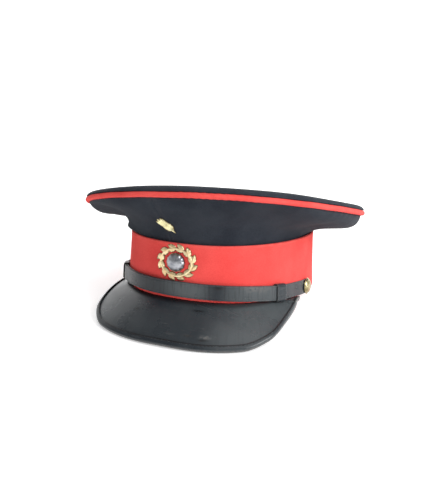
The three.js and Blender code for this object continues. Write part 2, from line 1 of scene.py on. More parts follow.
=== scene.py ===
"""A peaked cap set down on a pale floor: a wide dark wool crown piped in red, a red band, a patent leather
peak and chin strap, two gilt side buttons and a leaf badge. Metres, +Z up, the wearer's face towards -Y."""

import bpy
import numpy as np
from mathutils import Matrix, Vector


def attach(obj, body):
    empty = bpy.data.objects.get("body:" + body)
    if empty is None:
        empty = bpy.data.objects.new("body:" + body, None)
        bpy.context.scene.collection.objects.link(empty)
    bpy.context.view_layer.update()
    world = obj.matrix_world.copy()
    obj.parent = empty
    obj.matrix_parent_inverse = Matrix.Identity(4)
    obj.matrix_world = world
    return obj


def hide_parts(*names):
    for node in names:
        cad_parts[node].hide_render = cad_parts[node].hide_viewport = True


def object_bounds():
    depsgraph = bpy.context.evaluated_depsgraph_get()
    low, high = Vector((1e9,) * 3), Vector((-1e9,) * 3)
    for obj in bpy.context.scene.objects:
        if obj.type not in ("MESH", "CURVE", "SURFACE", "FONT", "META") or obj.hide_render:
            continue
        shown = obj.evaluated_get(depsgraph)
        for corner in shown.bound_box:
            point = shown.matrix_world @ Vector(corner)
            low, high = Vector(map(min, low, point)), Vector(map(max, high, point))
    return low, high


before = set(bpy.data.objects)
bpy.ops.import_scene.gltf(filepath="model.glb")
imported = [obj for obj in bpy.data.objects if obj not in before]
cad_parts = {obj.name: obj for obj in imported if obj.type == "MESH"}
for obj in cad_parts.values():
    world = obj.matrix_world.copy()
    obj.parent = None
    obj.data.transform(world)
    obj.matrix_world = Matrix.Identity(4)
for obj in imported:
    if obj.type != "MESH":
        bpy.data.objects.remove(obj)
solid_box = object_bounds()

# The red band
# A stiff upright ring that goes round the head, covered with milled red wool. The cloth is turned over the
# upper edge in a soft roll and joined at the back by one upright seam. It leans back as the cap rests.

CAP_LEAN = np.radians(8.430)
CAP_SET_BACK = -0.002637
CAP_RAISED = 0.012429
SEWN_GAP = 0.0003

BAND_HALF_WIDTH = (0.0836, 0.0808)
BAND_HALF_LENGTH = (0.0976, 0.0998)
BAND_ROUNDNESS = 2.2
BAND_HEIGHT = 0.0496
BAND_SWAY = (0.0014, 0.0012)
BAND_ARCH = {"left": 0.0019, "right": 0.0014}
BAND_TEMPLE = {"middle": 54, "wide": 20}
BAND_WALL = 0.0022
BAND_INSIDE = -BAND_WALL - SEWN_GAP
BAND_EDGE = 0.0009
BAND_STEPS = 400
BAND_ROLL = {"size": 0.0003, "middle": BAND_EDGE, "wide": 0.0026}
BAND_SEAM_SUNK = {"size": 0.0006, "wide": 0.0006}
BAND_SEAM_EDGES = {"size": 0.00025, "middle": 0.0024, "wide": 0.0016}
BAND_WAVES = {"size": (0.00012,) * 3, "turns": (5, 11, 17), "slant": (0, 60, -90), "start": (1.1, 0, 0)}
BAND_TOP_RUBBED = {"size": 0.5, "wide": 0.0014}
BAND_SEAM_RUBBED = {"size": 0.35, "middle": 0.002, "wide": 0.0012}

RED_DEEP = (0.72, 0.064, 0.058, 1)
RED_PALE = (0.84, 0.096, 0.085, 1)
RED_RUBBED = (0.87, 0.150, 0.130, 1)
WOOL_BLEND = {"start": -0.1, "mottle": 0.45, "fibre": 0.7}
WOOL_PALE = (0.2, 0.75)
WOOL_RELIEF = {"fibre": 1, "twill": 0.35}


def signed_power(value, power):
    """The value's size raised to the power, with its sign."""
    return np.sign(value) * np.abs(value) ** power


def oval(angle, half_width, half_length, roundness):
    """A rounded oval: the half width times the sine, and minus the half length times the cosine, of the
    angle, each to the power two over the roundness. Angle 0 is in front and grows to the wearer's left."""
    across, ahead = (signed_power(way(angle), 2 / roundness) for way in (np.sin, np.cos))
    return half_width * across, -half_length * ahead


def oval_normal(angle, half_width, half_length, roundness):
    """The way out of the oval: an oval of one over its half sizes, its roundness over one less than
    itself, brought to length one."""
    x, y = oval(angle, 1 / half_width, 1 / half_length, roundness / (roundness - 1))
    length = np.hypot(x, y)
    return x / length, y / length


def once_round(steps, start=-np.pi):
    """Even steps once round from the start."""
    return np.linspace(start, start + 2 * np.pi, steps, endpoint=False)


def part_way(start, end, share):
    """A share of the way from the start to the end."""
    return start + (end - start) * share


def hump(at, size, wide, middle=0):
    """A bell curve of that size: e to minus the square of the distance from the middle over the width."""
    return size * np.exp(-((at - middle) / wide) ** 2)


def ripples(table, angle, place):
    """Sine waves added up, each with its size, turns round the cap, slant with the place and start."""
    waves = zip(*table.values())
    return sum(size * np.sin(turns * angle + slant * place + start) for size, turns, slant, start in waves)


def xyz(x, y, z):
    """Points from their three coordinates."""
    return np.stack(np.broadcast_arrays(x, y, z), axis=-1)


def band_point(angle, height, offset):
    """The band's face: an oval whose half sizes change evenly with height, moved out by the offset."""
    share = height / BAND_HEIGHT
    shape = part_way(*BAND_HALF_WIDTH, share), part_way(*BAND_HALF_LENGTH, share), BAND_ROUNDNESS
    x, y = oval(angle, *shape)
    normal_x, normal_y = oval_normal(angle, *shape)
    return xyz(x + offset * normal_x, y + offset * normal_y, height)


def band_ends(angle):
    """Twice a power of the cosine less one: one at the band's front and back, minus one at its sides."""
    return 2 * np.abs(np.cos(angle)) ** (4 / BAND_ROUNDNESS) - 1


def band_low(angle):
    """The band's lower edge: a sway that dips at the sides, and a bell curve up over each temple."""
    arch = np.where(angle > 0, BAND_ARCH["left"], BAND_ARCH["right"])
    return BAND_SWAY[0] * band_ends(angle) + hump(np.degrees(np.abs(angle)), arch, **BAND_TEMPLE)


def band_high(angle):
    """The band's upper edge: its height less a sway, so that it rises at the sides."""
    return BAND_HEIGHT - BAND_SWAY[1] * band_ends(angle)


def leaned(points):
    """The upright cap turned back about the x axis by its lean."""
    x, y, z = np.moveaxis(points, -1, 0)
    sine, cosine = np.sin(CAP_LEAN), np.cos(CAP_LEAN)
    return xyz(x, y * cosine + z * sine, z * cosine - y * sine)


def at_rest(points):
    """The cap leaned back, set down, and pressed flat where it meets the floor."""
    resting = leaned(points) + np.array([0, CAP_SET_BACK, CAP_RAISED])
    return np.maximum(resting, [-np.inf, -np.inf, 0])


def oblong_loop(face_steps, corner_steps):
    """Once round a rounded oblong: up its outer face, over, down its inner face and under. Gives each
    point's share of the way up and out, and the direction that the surface faces."""
    face = np.linspace(0, 1, face_steps)
    quarter = np.linspace(0, np.pi / 2, corner_steps)
    runs = [
        (face, 1, 0),
        (1, 1, quarter[1:]),
        (1, 0, quarter[:-1] + np.pi / 2),
        (face[::-1], 0, np.pi),
        (0, 0, quarter[1:] + np.pi),
        (0, 1, quarter[:-1] + 3 * np.pi / 2),
    ]
    return np.hstack([np.stack(np.broadcast_arrays(*run)) for run in runs])


def oblong(low, high, near, far, radius, loop):
    """The loop laid between two heights and two offsets, its corners rounded to the radius."""
    up, out, facing = loop
    height = part_way(low + radius, high - radius, up) + radius * np.sin(facing)
    return height, part_way(near + radius, far - radius, out) + radius * np.cos(facing)


def outer_face(loop):
    """How squarely the loop faces out: the facing's cosine on its outer half, and nothing elsewhere."""
    return loop[1] * np.cos(loop[2]).clip(0)


def faces_over(rows, columns, ends):
    """The corners of the faces over rows of loops, as row and column numbers. The last loop joins the
    first ("ring"), each end loop has its halves bridged ("wall"), or neither ("pole")."""
    row, column = np.indices((rows if ends == "ring" else rows - 1, columns)).reshape(2, -1, 1)
    corner_rows, corner_columns = row + [0, 1, 1, 0], column + [0, 0, 1, 1]
    if ends == "wall":
        here = np.arange(columns // 2 - 1)[:, None]
        bridge = here * [1, 1, -1, -1] + [0, 1, columns - 2, columns - 1]
        corner_columns = np.concatenate([corner_columns, bridge, bridge[:, ::-1]])
        corner_rows = np.concatenate([corner_rows, 0 * bridge, 0 * bridge + rows - 1])
    return corner_rows, corner_columns


def distance_along(points, axis):
    """The mean distance walked along the rows or the columns of grids of points, back to the start."""
    step = np.linalg.norm(np.diff(points, axis=axis, append=np.take(points, [0], axis)), axis=-1)
    return np.concatenate([[0], np.cumsum(step.mean(axis=(0, 3 - axis)))])


def new_object(name, data):
    """A new object in the scene."""
    made = bpy.data.objects.new(name, data)
    bpy.context.collection.objects.link(made)
    return made


def skin(name, rings, ends, **marks):
    """A closed mesh over rows of loops, for one grid or several copies. A "pole" end is drawn in to the
    middle of its loop by a fan. Marks are values at each point for the materials. The map Cloth holds the
    metres walked along the rows and round the loops. The sign of the volume turns the faces outwards."""
    rings = at_rest(rings)
    rings = rings.reshape(-1, *rings.shape[-3:])
    copies, rows, columns = rings.shape[:3]
    along, round_loop = distance_along(rings, 1), distance_along(rings, 2)
    values = [np.broadcast_to(value, rings.shape[:3])[..., None] for value in marks.values()]
    grid = np.concatenate([rings, *values], axis=-1)
    points = grid.reshape(copies, rows * columns, -1)
    corner_rows, corner_columns = faces_over(rows, columns, ends)
    faces = [corner_rows % rows * columns + corner_columns % columns]
    maps = [np.stack([along[corner_rows], round_loop[corner_columns]], axis=-1)]
    if ends == "pole":
        points = np.hstack([points, grid[:, [0, -1]].mean(2)])
        here = np.arange(columns)[:, None]
        for end, order in enumerate(([0, 1], [1, 0])):
            row = end * (rows - 1)
            tip = np.full_like(here, rows * columns + end)
            faces.append(np.hstack([row * columns + (here + order) % columns, tip]))
            fan = round_loop[np.hstack([here + order, here])]
            maps.append(np.stack(np.broadcast_arrays(along[row], fan), axis=-1))
    corners = [points[0, :, :3][face] for face in faces]
    volume = sum(np.sum(c[:, 0] * np.cross(c[:, 1] - c[:, -1], c[:, 2])) for c in corners)
    if volume < 0:
        faces, maps = ([part[:, ::-1] for part in parts] for parts in (faces, maps))
    start = np.arange(copies)[:, None, None] * points.shape[1]
    polygons = [polygon for face in faces for polygon in (face + start).reshape(-1, face.shape[1]).tolist()]
    cloth_map = [np.tile(part, (copies, 1, 1)).ravel() for part in maps]
    mesh = bpy.data.meshes.new(name)
    mesh.from_pydata(points[..., :3].reshape(-1, 3).tolist(), [], polygons)
    mesh.uv_layers.new(name="Cloth").uv.foreach_set("vector", np.concatenate(cloth_map))
    for column, mark_name in enumerate(marks, 3):
        value = points[..., column].astype(np.float32).ravel()
        mesh.attributes.new(mark_name, "FLOAT", "POINT").data.foreach_set("value", value)
    mesh.shade_smooth()
    return new_object(name, mesh)


def fit(piece, material, slot, *nodes):
    """Gives a piece its material and sets it on the cap, in place of the solids that it stands for."""
    piece.data.materials.append(material)
    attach(piece, "root")
    if nodes:
        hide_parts(*nodes)


def shader_input(material, name):
    """An input of the material's shader."""
    return material.node_tree.nodes["Principled BSDF"].inputs[name.replace("_", " ")]


def finish(name, **steady):
    """A material with these steady values."""
    material = bpy.data.materials.new(name)
    material.use_nodes = True
    for socket, value in steady.items():
        shader_input(material, socket).default_value = value
    return material


def add(tree, kind, inputs=None, **settings):
    """A shader node with these settings. An input takes a value or another node's output."""
    made = tree.nodes.new("ShaderNode" + kind)
    for setting, value in settings.items():
        setattr(made, setting, value)
    for socket, value in (inputs or {}).items():
        if isinstance(value, bpy.types.NodeSocket):
            tree.links.new(value, made.inputs[socket])
        else:
            made.inputs[socket].default_value = value
    return made


def dressed(material, height, strength, distance, **linked):
    """The material with values linked to its shader and a height as bump."""
    tree = material.node_tree
    bump = add(tree, "Bump", {"Height": height, "Strength": strength, "Distance": distance})
    for socket, value in {**linked, "Normal": bump.outputs["Normal"]}.items():
        tree.links.new(value, shader_input(material, socket))
    return material


def on_piece(material):
    """Where a point is on the piece."""
    return add(material.node_tree, "TexCoord").outputs["Object"]


def on_cloth(material):
    """How far along and round the cloth a point is."""
    return add(material.node_tree, "UVMap", uv_map="Cloth").outputs["UV"]


def mark(material, name):
    """A value that the mesh holds at each point."""
    return add(material.node_tree, "Attribute", attribute_name=name).outputs["Fac"]


def noise(place, per_metre, detail):
    """Cloudy noise from 0 to 1, with so many clouds to the metre."""
    inputs = {"Vector": place, "Scale": per_metre, "Detail": detail}
    return add(place.id_data, "TexNoise", inputs).outputs["Fac"]


def ribs(place, per_metre, distortion=0):
    """Slanting waves from 0 to 1."""
    inputs = {"Vector": place, "Scale": per_metre, "Distortion": distortion}
    return add(place.id_data, "TexWave", inputs, bands_direction="DIAGONAL").outputs["Fac"]


def between(value, low, high):
    """0 below the low value, 1 above the high one, and a straight run between."""
    return add(value.id_data, "MapRange", {0: value, 1: low, 2: high}).outputs[0]


def clouds(place, per_metre, detail, low, high):
    """Cloudy noise, 0 below the low value and 1 above the high one."""
    return between(noise(place, per_metre, detail), low, high)


def reckon(operation, *values):
    """One step of arithmetic, whose first value is a node's output."""
    return add(values[0].id_data, "Math", dict(enumerate(values)), operation=operation).outputs[0]


def summed(weights, **parts):
    """The table's start, if any, plus each part times its weight in the table."""
    total = weights.get("start", 0)
    for name, value in parts.items():
        total = reckon("MULTIPLY_ADD", value, weights[name], total)
    return total


def mixed(share, first, second):
    """The first colour where the share is 0 and the second where it is 1."""
    return add(share.id_data, "Mix", {0: share, 6: first, 7: second}, data_type="RGBA").outputs[2]


def wool(name, deep, pale, rubbed, sheen):
    """Milled wool: deep and pale wool mixed by a broad mottle and single fibres, paler where the nap is
    rubbed off, with a fine twill rib and loose fibres as bump, and a sheen."""
    material = finish(
        name, Roughness=0.92, Sheen_Weight=sheen, Sheen_Roughness=0.55, Specular_IOR_Level=0.08)
    place = on_piece(material)
    mottle = clouds(place, per_metre=34, detail=4, low=0.35, high=0.68)
    fibre = noise(place, per_metre=1100, detail=3)
    nap = clouds(place, per_metre=160, detail=4, low=0.32, high=0.62)
    twill = ribs(on_cloth(material), per_metre=520, distortion=1.2)
    cloth = mixed(between(summed(WOOL_BLEND, mottle=mottle, fibre=fibre), *WOOL_PALE), deep, pale)
    worn = reckon("MULTIPLY", mark(material, "worn"), nap)
    relief = summed(WOOL_RELIEF, fibre=fibre, twill=twill)
    return dressed(material, relief, strength=0.35, distance=0.0004, Base_Color=mixed(worn, cloth, rubbed))


def band_mesh():
    """A rounded oblong carried round the oval, with a soft roll along its upper edge, a sunk seam with
    raised edges at the back, and slow waves round the face."""
    angle = once_round(BAND_STEPS)[:, None]
    loop = oblong_loop(face_steps=30, corner_steps=6)
    height, offset = oblong(band_low(angle), band_high(angle), -BAND_WALL, 0, BAND_EDGE, loop)
    below_top = band_high(angle) - height
    from_seam = (np.pi - np.abs(angle)) * BAND_HALF_LENGTH[0]
    seam = hump(from_seam, **BAND_SEAM_EDGES) - hump(from_seam, **BAND_SEAM_SUNK)
    relief = hump(below_top, **BAND_ROLL) + seam + ripples(BAND_WAVES, angle, height)
    rings = band_point(angle, height, offset + outer_face(loop) * relief)
    worn = hump(below_top, **BAND_TOP_RUBBED) + hump(from_seam, **BAND_SEAM_RUBBED)
    return skin("red_band", rings, "ring", worn=worn)


red_wool = wool("red_wool", RED_DEEP, RED_PALE, RED_RUBBED, sheen=0.02)
fit(band_mesh(), red_wool, "red_wool", "band")

# The four quarters
# The crown's side is four panels of dark wool sewn edge to edge. Each comes up from inside the band,
# stands at the front, swells out at the sides and back, and is sewn to the rim in soft folds. On the
# wearer's right the cloth rolls out over the band.

RIM_HALF_WIDTH = 0.1247
RIM_HALF_LENGTH = 0.1278
RIM_ROUNDNESS = 2.2
RIM_SET_BACK = 0.0009
RIM_HEIGHT = 0.0707
RIM_FRONT_RISE = 0.0165
RIM_END_RISE = 0.0027
RIM_ASKEW = 0.0072
CORD_RADIUS = 0.0023
CLOTH = 0.0016

QUARTER_SECTIONS = {
    "angle": (0, 42, 72, 112, 180),
    "leave_out": (0.003, 0.0032, -0.0005, 0.0210, 0.012),
    "leave_up": (0.015, 0.0208, 0.0165, 0.0074, 0.001),
    "hang_in": (0.005, 0.0048, 0.0038, 0.0024, 0.005),
    "hang_down": (0.013, 0.0064, 0.0179, 0.0210, 0.007),
}
QUARTER_ROLL = {"angle": -66, "spread": 24, "out": 0.0088, "rises": 0.008, "fades": 0.2}
QUARTER_FOLDS = {
    "angle": (38, 74, 118, 152, -44, -82, -126, -158),
    "depth": (0.0012, 0.0015, 0.0016, 0.0013, 0.0013, 0.0016, 0.0015, 0.0012),
    "spread": (7, 9, 10, 9, 8, 9, 10, 8),
}
QUARTER_SEAMS = {"front_left": 0, "back_left": 90, "back_right": 180, "front_right": -90}
QUARTER_TURN = -5
QUARTER_TUCK = 0.007
QUARTER_INSET = 0.0012
QUARTER_STEPS = {"across": 120, "up": 60, "tuck": 4}
QUARTER_CROWDING = 1.7
NEARBY = 0.005
SEAM_SUNK = {"size": 0.0003, "wide": 0.0008}
PUCKER = {"deep": 0.00022, "every": 4.2, "swells": 9, "reach": 0.09}
QUARTER_PUCKER = {"sway": 2, "slow": 17, "steady": 0.6}
QUARTER_RIM_RUBBED = {"size": 0.5, "middle": 1, "wide": 0.05}
QUARTER_SEAM_RUBBED = {"size": 0.25, "middle": 0.002, "wide": 0.001}

DARK_DEEP = (0.018, 0.022, 0.030, 1)
DARK_PALE = (0.032, 0.038, 0.048, 1)
DARK_RUBBED = (0.055, 0.056, 0.064, 1)


def unit(vectors):
    """Vectors over their own lengths."""
    return vectors / np.linalg.norm(vectors, axis=-1, keepdims=True)


def eased(share):
    """A share that starts and stops gently: three times its square less twice its cube."""
    return share * share * (3 - 2 * share)


def from_table(keys, values, at):
    """A smooth curve through a table's rows that never overshoots: between rows a cubic, whose end slopes
    are twice the product over the sum of the straight slopes on each side, or flat at peaks and ends."""
    keys, values = np.array(keys, float), np.array(values, float)
    grade = np.diff(values) / np.diff(keys)
    before, after = grade[:-1], grade[1:]
    same_way = before * after > 0
    total = np.where(same_way, before + after, 1)
    lean = np.concatenate([[0], np.where(same_way, 2 * before * after / total, 0), [0]])
    low = np.clip(np.searchsorted(keys, at, side="right") - 1, 0, len(keys) - 2)
    span = keys[low + 1] - keys[low]
    share = np.clip((at - keys[low]) / span, 0, 1)
    bend = lean[low] * share * (1 - share) ** 2 - lean[low + 1] * share ** 2 * (1 - share)
    return part_way(values[low], values[low + 1], eased(share)) + span * bend


def rim_point(angle):
    """The line of the rim: an oval that rises to the front, a little to both ends, and to one side."""
    x, y = oval(angle, RIM_HALF_WIDTH, RIM_HALF_LENGTH, RIM_ROUNDNESS)
    forward, sideways = -y / RIM_HALF_LENGTH, x / RIM_HALF_WIDTH
    ends = RIM_END_RISE * (2 * forward ** 2 - 1)
    return xyz(x, y + RIM_SET_BACK, RIM_HEIGHT + RIM_FRONT_RISE * forward + ends + RIM_ASKEW * sideways)


def angle_from(angle, degrees):
    """How far an angle is from another one in degrees, the short way round."""
    return (np.degrees(angle) - degrees + 180) % 360 - 180


def puckers(angle, sway, slow, steady):
    """Fine puckers where the rim's stitches draw the cloth in: a sine wave round the cap whose step sways
    slowly, and whose size is steady in part and swells for the rest."""
    degrees = np.degrees(angle)
    size = steady + (1 - steady) * np.sin(degrees / PUCKER["swells"])
    wave = np.sin(2 * np.pi * degrees / PUCKER["every"] + sway * np.sin(degrees / slow))
    return PUCKER["deep"] * size * wave


def fold_depth(angle, share):
    """How far the cloth falls in: bell curves across the folds, most halfway up, and the puckers."""
    rows = zip(*QUARTER_FOLDS.values())
    folds = sum(hump(angle_from(angle, at), depth, spread) for at, depth, spread in rows)
    drawn_in = hump(share, puckers(angle, **QUARTER_PUCKER), PUCKER["reach"], middle=1)
    return folds * np.sin(np.pi * share) ** 2 + drawn_in


def roll_out(angle, share):
    """How far the cloth rolls out over the band on the wearer's right: a bell curve round the cap, with a
    quick rise up the side, then a slow fade."""
    rise = (1 - np.exp(-share / QUARTER_ROLL["rises"])) * np.exp(-share / QUARTER_ROLL["fades"])
    away = angle_from(angle, QUARTER_ROLL["angle"])
    return hump(away, QUARTER_ROLL["out"] * rise, QUARTER_ROLL["spread"])


def quarter_line(angle, share):
    """The crown's side in section: a cubic curve from inside the band's upper edge to the rim, its two
    handles from the table, moved in square to it by the folds and straight out by the roll. Gives its
    start, the way out in plan, and how far out and up each point is."""
    start = band_point(angle, band_high(angle), BAND_INSIDE)
    rim = rim_point(angle)
    across = (rim - start) * [1, 1, 0]
    reach = np.linalg.norm(across, axis=-1) - QUARTER_INSET
    rise = rim[..., 2] - start[..., 2] - CORD_RADIUS
    angles, *columns = QUARTER_SECTIONS.values()
    degrees = np.abs(angle_from(angle, 0))
    leave_out, leave_up, hang_in, hang_down = (from_table(angles, column, degrees) for column in columns)
    handles = np.array([[leave_out, leave_up], [reach - hang_in, rise - hang_down], [reach, rise]])
    rest = 1 - share
    weights = 3 * share * rest ** 2, 3 * share ** 2 * rest, share ** 3
    slopes = 3 * rest * (1 - 3 * share), 3 * share * (2 - 3 * share), 3 * share ** 2
    out, up = sum(weight * handle for weight, handle in zip(weights, handles))
    slope_out, slope_up = sum(slope * handle for slope, handle in zip(slopes, handles))
    inwards = fold_depth(angle, share) / np.hypot(slope_out, slope_up)
    return start, unit(across), out - inwards * slope_up + roll_out(angle, share), up + inwards * slope_out


def quarter_point(angle, share, depth):
    """A point of the crown's side, moved in by the depth square to its line."""
    start, outward, out, up = quarter_line(angle, share)
    before, after = (quarter_line(angle, np.clip(share + step, 0, 1)) for step in (-NEARBY, NEARBY))
    run_out, run_up = after[2] - before[2], after[3] - before[3]
    inwards = depth / np.hypot(run_out, run_up)
    x, y, z = np.moveaxis(start + outward * (out - inwards * run_up)[..., None], -1, 0)
    return xyz(x, y, z + up + inwards * run_out)


def there_and_back(face, back):
    """Loops out along the face and home along the back."""
    return np.hstack([face, back[:, ::-1]])


def quarter_mesh(name, seam):
    """One panel: the tuck inside the band and the curved side, a wall one cloth thick that sinks into the
    seam at both edges."""
    share_across = (1 - np.cos(np.linspace(0, np.pi, QUARTER_STEPS["across"]))) / 2
    angle = np.radians(seam + QUARTER_TURN + 90 * share_across)[:, None]
    share = np.linspace(0, 1, QUARTER_STEPS["up"])[None, 1:] ** QUARTER_CROWDING
    from_seam = np.radians(90) * np.minimum(share_across, 1 - share_across)[:, None] * BAND_HALF_WIDTH[1]
    tuck = band_high(angle) - QUARTER_TUCK * np.linspace(1, 0, QUARTER_STEPS["tuck"])[None, :]
    face, back = (
        np.hstack([band_point(angle, tuck, inside), quarter_point(angle, share, depth)])
        for inside, depth in ((BAND_INSIDE, hump(from_seam, **SEAM_SUNK)), (BAND_INSIDE - CLOTH, CLOTH)))
    up_side = np.hstack([np.zeros((1, QUARTER_STEPS["tuck"])), share])
    up_side = there_and_back(up_side, up_side)
    worn = hump(up_side, **QUARTER_RIM_RUBBED) + hump(from_seam, **QUARTER_SEAM_RUBBED)
    return skin(name, there_and_back(face, back), "wall", worn=worn)


dark_wool = wool("dark_wool", DARK_DEEP, DARK_PALE, DARK_RUBBED, sheen=0.03)
for side, seam in QUARTER_SEAMS.items():
    fit(quarter_mesh(f"{side}_quarter", seam), dark_wool, "dark_wool", f"quarter_{side}")

# The piping
# A round cord wrapped in a strip of red wool, sewn into the seam all round the rim. The strip is cut on
# the bias, so it lies smooth, with faint slanting wrinkles where it turns.

PIPING_STEPS = 600
PIPING_SIDES = 20
PIPING_WRINKLE = {"deep": 0.00007, "turns": 140, "slant": 2, "swells": 6, "slow": 23}
PIPING_RUBBED = 0.25


def piping_mesh():
    """A tube carried along the rim, its radius changed a little by slanting waves that swell and fade."""
    angle = once_round(PIPING_STEPS)[:, None]
    turn = once_round(PIPING_SIDES, start=0)[None, :]
    normal_x, normal_y = oval_normal(angle, RIM_HALF_WIDTH, RIM_HALF_LENGTH, RIM_ROUNDNESS)
    deep, turns, slant, swells, slow = PIPING_WRINKLE.values()
    fine = np.sin(turns * angle + slant * turn) * (1 + np.sin(swells * angle))
    radius = CORD_RADIUS + deep * (fine + np.sin(slow * angle - turn))
    out, up = radius * np.cos(turn), radius * np.sin(turn)
    rings = rim_point(angle) + xyz(normal_x * out, normal_y * out, up)
    return skin("rim_piping", rings, "ring", worn=PIPING_RUBBED * np.cos(turn).clip(0) ** 4)


fit(piping_mesh(), red_wool, "red_wool", "crown_piping")

# The top panel
# One round of dark wool over the whole crown. It lies flat and a little slack, and rolls over a soft
# shoulder down to the piping, where it is sewn.

TOP_OVERHANG = 0.0012
TOP_SEAT = 0.00265
TOP_SHOULDER_HEIGHT = 0.0048
TOP_SHOULDER_WIDTH = 0.0104
TOP_SAG = 0.0020
TOP_STEPS = 300
TOP_FLAT = {"from": 0.03, "to": 0.84, "steps": 24}
TOP_ROLL = {"from": 0.85, "steps": 30, "crowding": 1.8}
TOP_RIPPLE = {"size": (0.0005, 0.0003), "turns": (3, 7), "slant": (0, 9), "start": (0.6, 0)}
TOP_PUCKER = {"sway": 1, "slow": 13, "steady": 1}
TOP_RUBBED = {"size": 0.25, "middle": 0.97, "wide": 0.03}
TOP_RUBBED_ALL = 0.05


def top_point(angle, share, depth):
    """The top panel, a share of the way from its middle to its edge: a straight run out, raised by a
    quarter ellipse over the shoulder, less a slack deepest in the middle, moved in by the depth."""
    rim = rim_point(angle)
    middle = np.array([0, RIM_SET_BACK])
    outward = rim[..., :2] - middle
    length = np.linalg.norm(outward, axis=-1)
    radius = length + TOP_OVERHANG
    climb = np.maximum(0, 1 - (1 - share) * radius / TOP_SHOULDER_WIDTH)
    level = np.sqrt(1 - climb ** 2)
    slack = TOP_SAG * (1 - share ** 2) ** 2
    ripple = ripples(TOP_RIPPLE, angle, share) * share * (1 - climb)
    inwards = depth + puckers(angle, **TOP_PUCKER) * climb ** 2
    run = part_way(RIM_HEIGHT, rim[..., 2], share)
    height = run + TOP_SEAT + TOP_SHOULDER_HEIGHT * level - slack + ripple - inwards * level
    plan = middle + outward * ((share * radius - inwards * climb) / length)[..., None]
    return xyz(plan[..., 0], plan[..., 1], height)


def top_mesh():
    """Rings round the panel's middle: out over the upper face, then back under it one cloth lower."""
    angle = once_round(TOP_STEPS)[None, :]
    flat = np.linspace(TOP_FLAT["from"], TOP_FLAT["to"], TOP_FLAT["steps"])
    roll = 1 - (1 - TOP_ROLL["from"]) * np.linspace(1, 0, TOP_ROLL["steps"]) ** TOP_ROLL["crowding"]
    share = np.concatenate([flat, roll])[:, None]
    rings = np.concatenate([top_point(angle, share, 0), top_point(angle, share[::-1], CLOTH)])
    worn = hump(share, **TOP_RUBBED) + TOP_RUBBED_ALL
    return skin("top_panel", rings, "pole", worn=np.concatenate([worn, worn[::-1]]))


fit(top_mesh(), dark_wool, "dark_wool", "crown_top")

# The peak
# A stiff piece of black patent leather that drops steeply from under the band, deepest over the eyes and
# narrow at the temples. Its root is sewn inside the band. The lacquer is worn and scuffed. Its colour also
# holds painted light: a painted sheen towards the wearer's left, painted highlights, and painted shade
# along the root and beside one scuff.

PEAK_REACH = {
    "along": (0, 0.25, 0.45, 0.6, 0.75, 0.88, 1),
    "reach": (0.0438, 0.0449, 0.0455, 0.0400, 0.0252, 0.0128, 0.0031),
}
PEAK_HALF_SPAN = np.radians(78)
PEAK_SLOPE = (np.radians(43.1), np.radians(14.2))
PEAK_FAN = 0.62
PEAK_BOW = 0.0016
PEAK_WALL = 0.0020
PEAK_ROOT_INSET = 0.0005
PEAK_FLANGE = 0.005
PEAK_STEPS = {"round": 200, "out": 60, "flange": 4}
PEAK_ANGLES = np.linspace(-PEAK_HALF_SPAN, PEAK_HALF_SPAN, PEAK_STEPS["round"])[:, None]
BINDING_WALL = 0.0010
BINDING_GAP = 0.0003

# Spots on the peak: mostly scuffs and bruises. The dark row at 17.2 degrees is a painted shadow beside the
# scuff, and the pale rows at -46 and 45 degrees are painted highlights.
PEAK_MARKS = {
    "angle": (18.6, 17.2, 11.9, -19.6, 10, -46, -14, 14, 45),
    "place": (0.77, 0.83, 0.22, 0.41, 0.77, 0.75, 0.6, 0.7, 0.35),
    "wide": (2.2, 2.0, 3.2, 1.6, 1.8, 18, 14, 10, 13),
    "long": (0.03, 0.025, 0.022, 0.04, 0.022, 0.4, 0.4, 0.3, 0.35),
    "bruise": (0, 0.9, 0.9, 0.9, 0.8, 0, 0, 0, 0),
    "worn": (1.2, 0, 0, 0, 0.5, 0, 0, 0, 0),
    "pale": (0.4, 0, 0, 0, 0, 1.0, 0.15, -0.35, 0.6),
}
# A painted shade along the peak's root, under the strap, carried in the dark mark.
ROOT_SHADE = {"share": 0.11, "bruise": 0.6}

LACQUER_BLACK = (0.011, 0.016, 0.022, 1)
LACQUER_GREY = (0.076, 0.088, 0.093, 1)
# Bare lacquer, also used as a painted highlight along the binding's nose and on one strap spot.
LACQUER_BARE_AND_HIGHLIGHT = (0.120, 0.117, 0.112, 1)
LACQUER_BRUISE_AND_PAINTED_SHADE = (0.005, 0.005, 0.006, 1)
# The painted sheen: the lacquer turns greyer across towards the wearer's left, where the key lamp falls,
# and the pale marks raise or lower it.
PAINTED_SHEEN_ACROSS = (-0.015, 0.055)
PAINTED_SHEEN_AND_TONE = {"pale": 1, "cloud": 0.12, "left": 0.65}
SCRATCHES_PER_METRE = (60, 900, 500)
SCRATCHES_TURNED = (0.3, 0.5, 0.7)
SCRATCH_BARE = 0.2
CRACKS_PER_METRE = (520, 40, 1)
LACQUER_DULL = {"start": 0.26, "scratch": 0.12, "cloud": 0.10, "worn": 0.35}
LACQUER_RELIEF = {"dents": 0.7, "grain": 0.02, "pitted": -0.25}


def band_normal(angle):
    """The way out of the band's lower edge, in plan."""
    return oval_normal(angle, BAND_HALF_WIDTH[0], BAND_HALF_LENGTH[0], BAND_ROUNDNESS)


def peak_reach(angle):
    """How far the peak reaches from the band, from the table by the share of its half span."""
    return from_table(PEAK_REACH["along"], PEAK_REACH["reach"], np.abs(angle) / PEAK_HALF_SPAN)


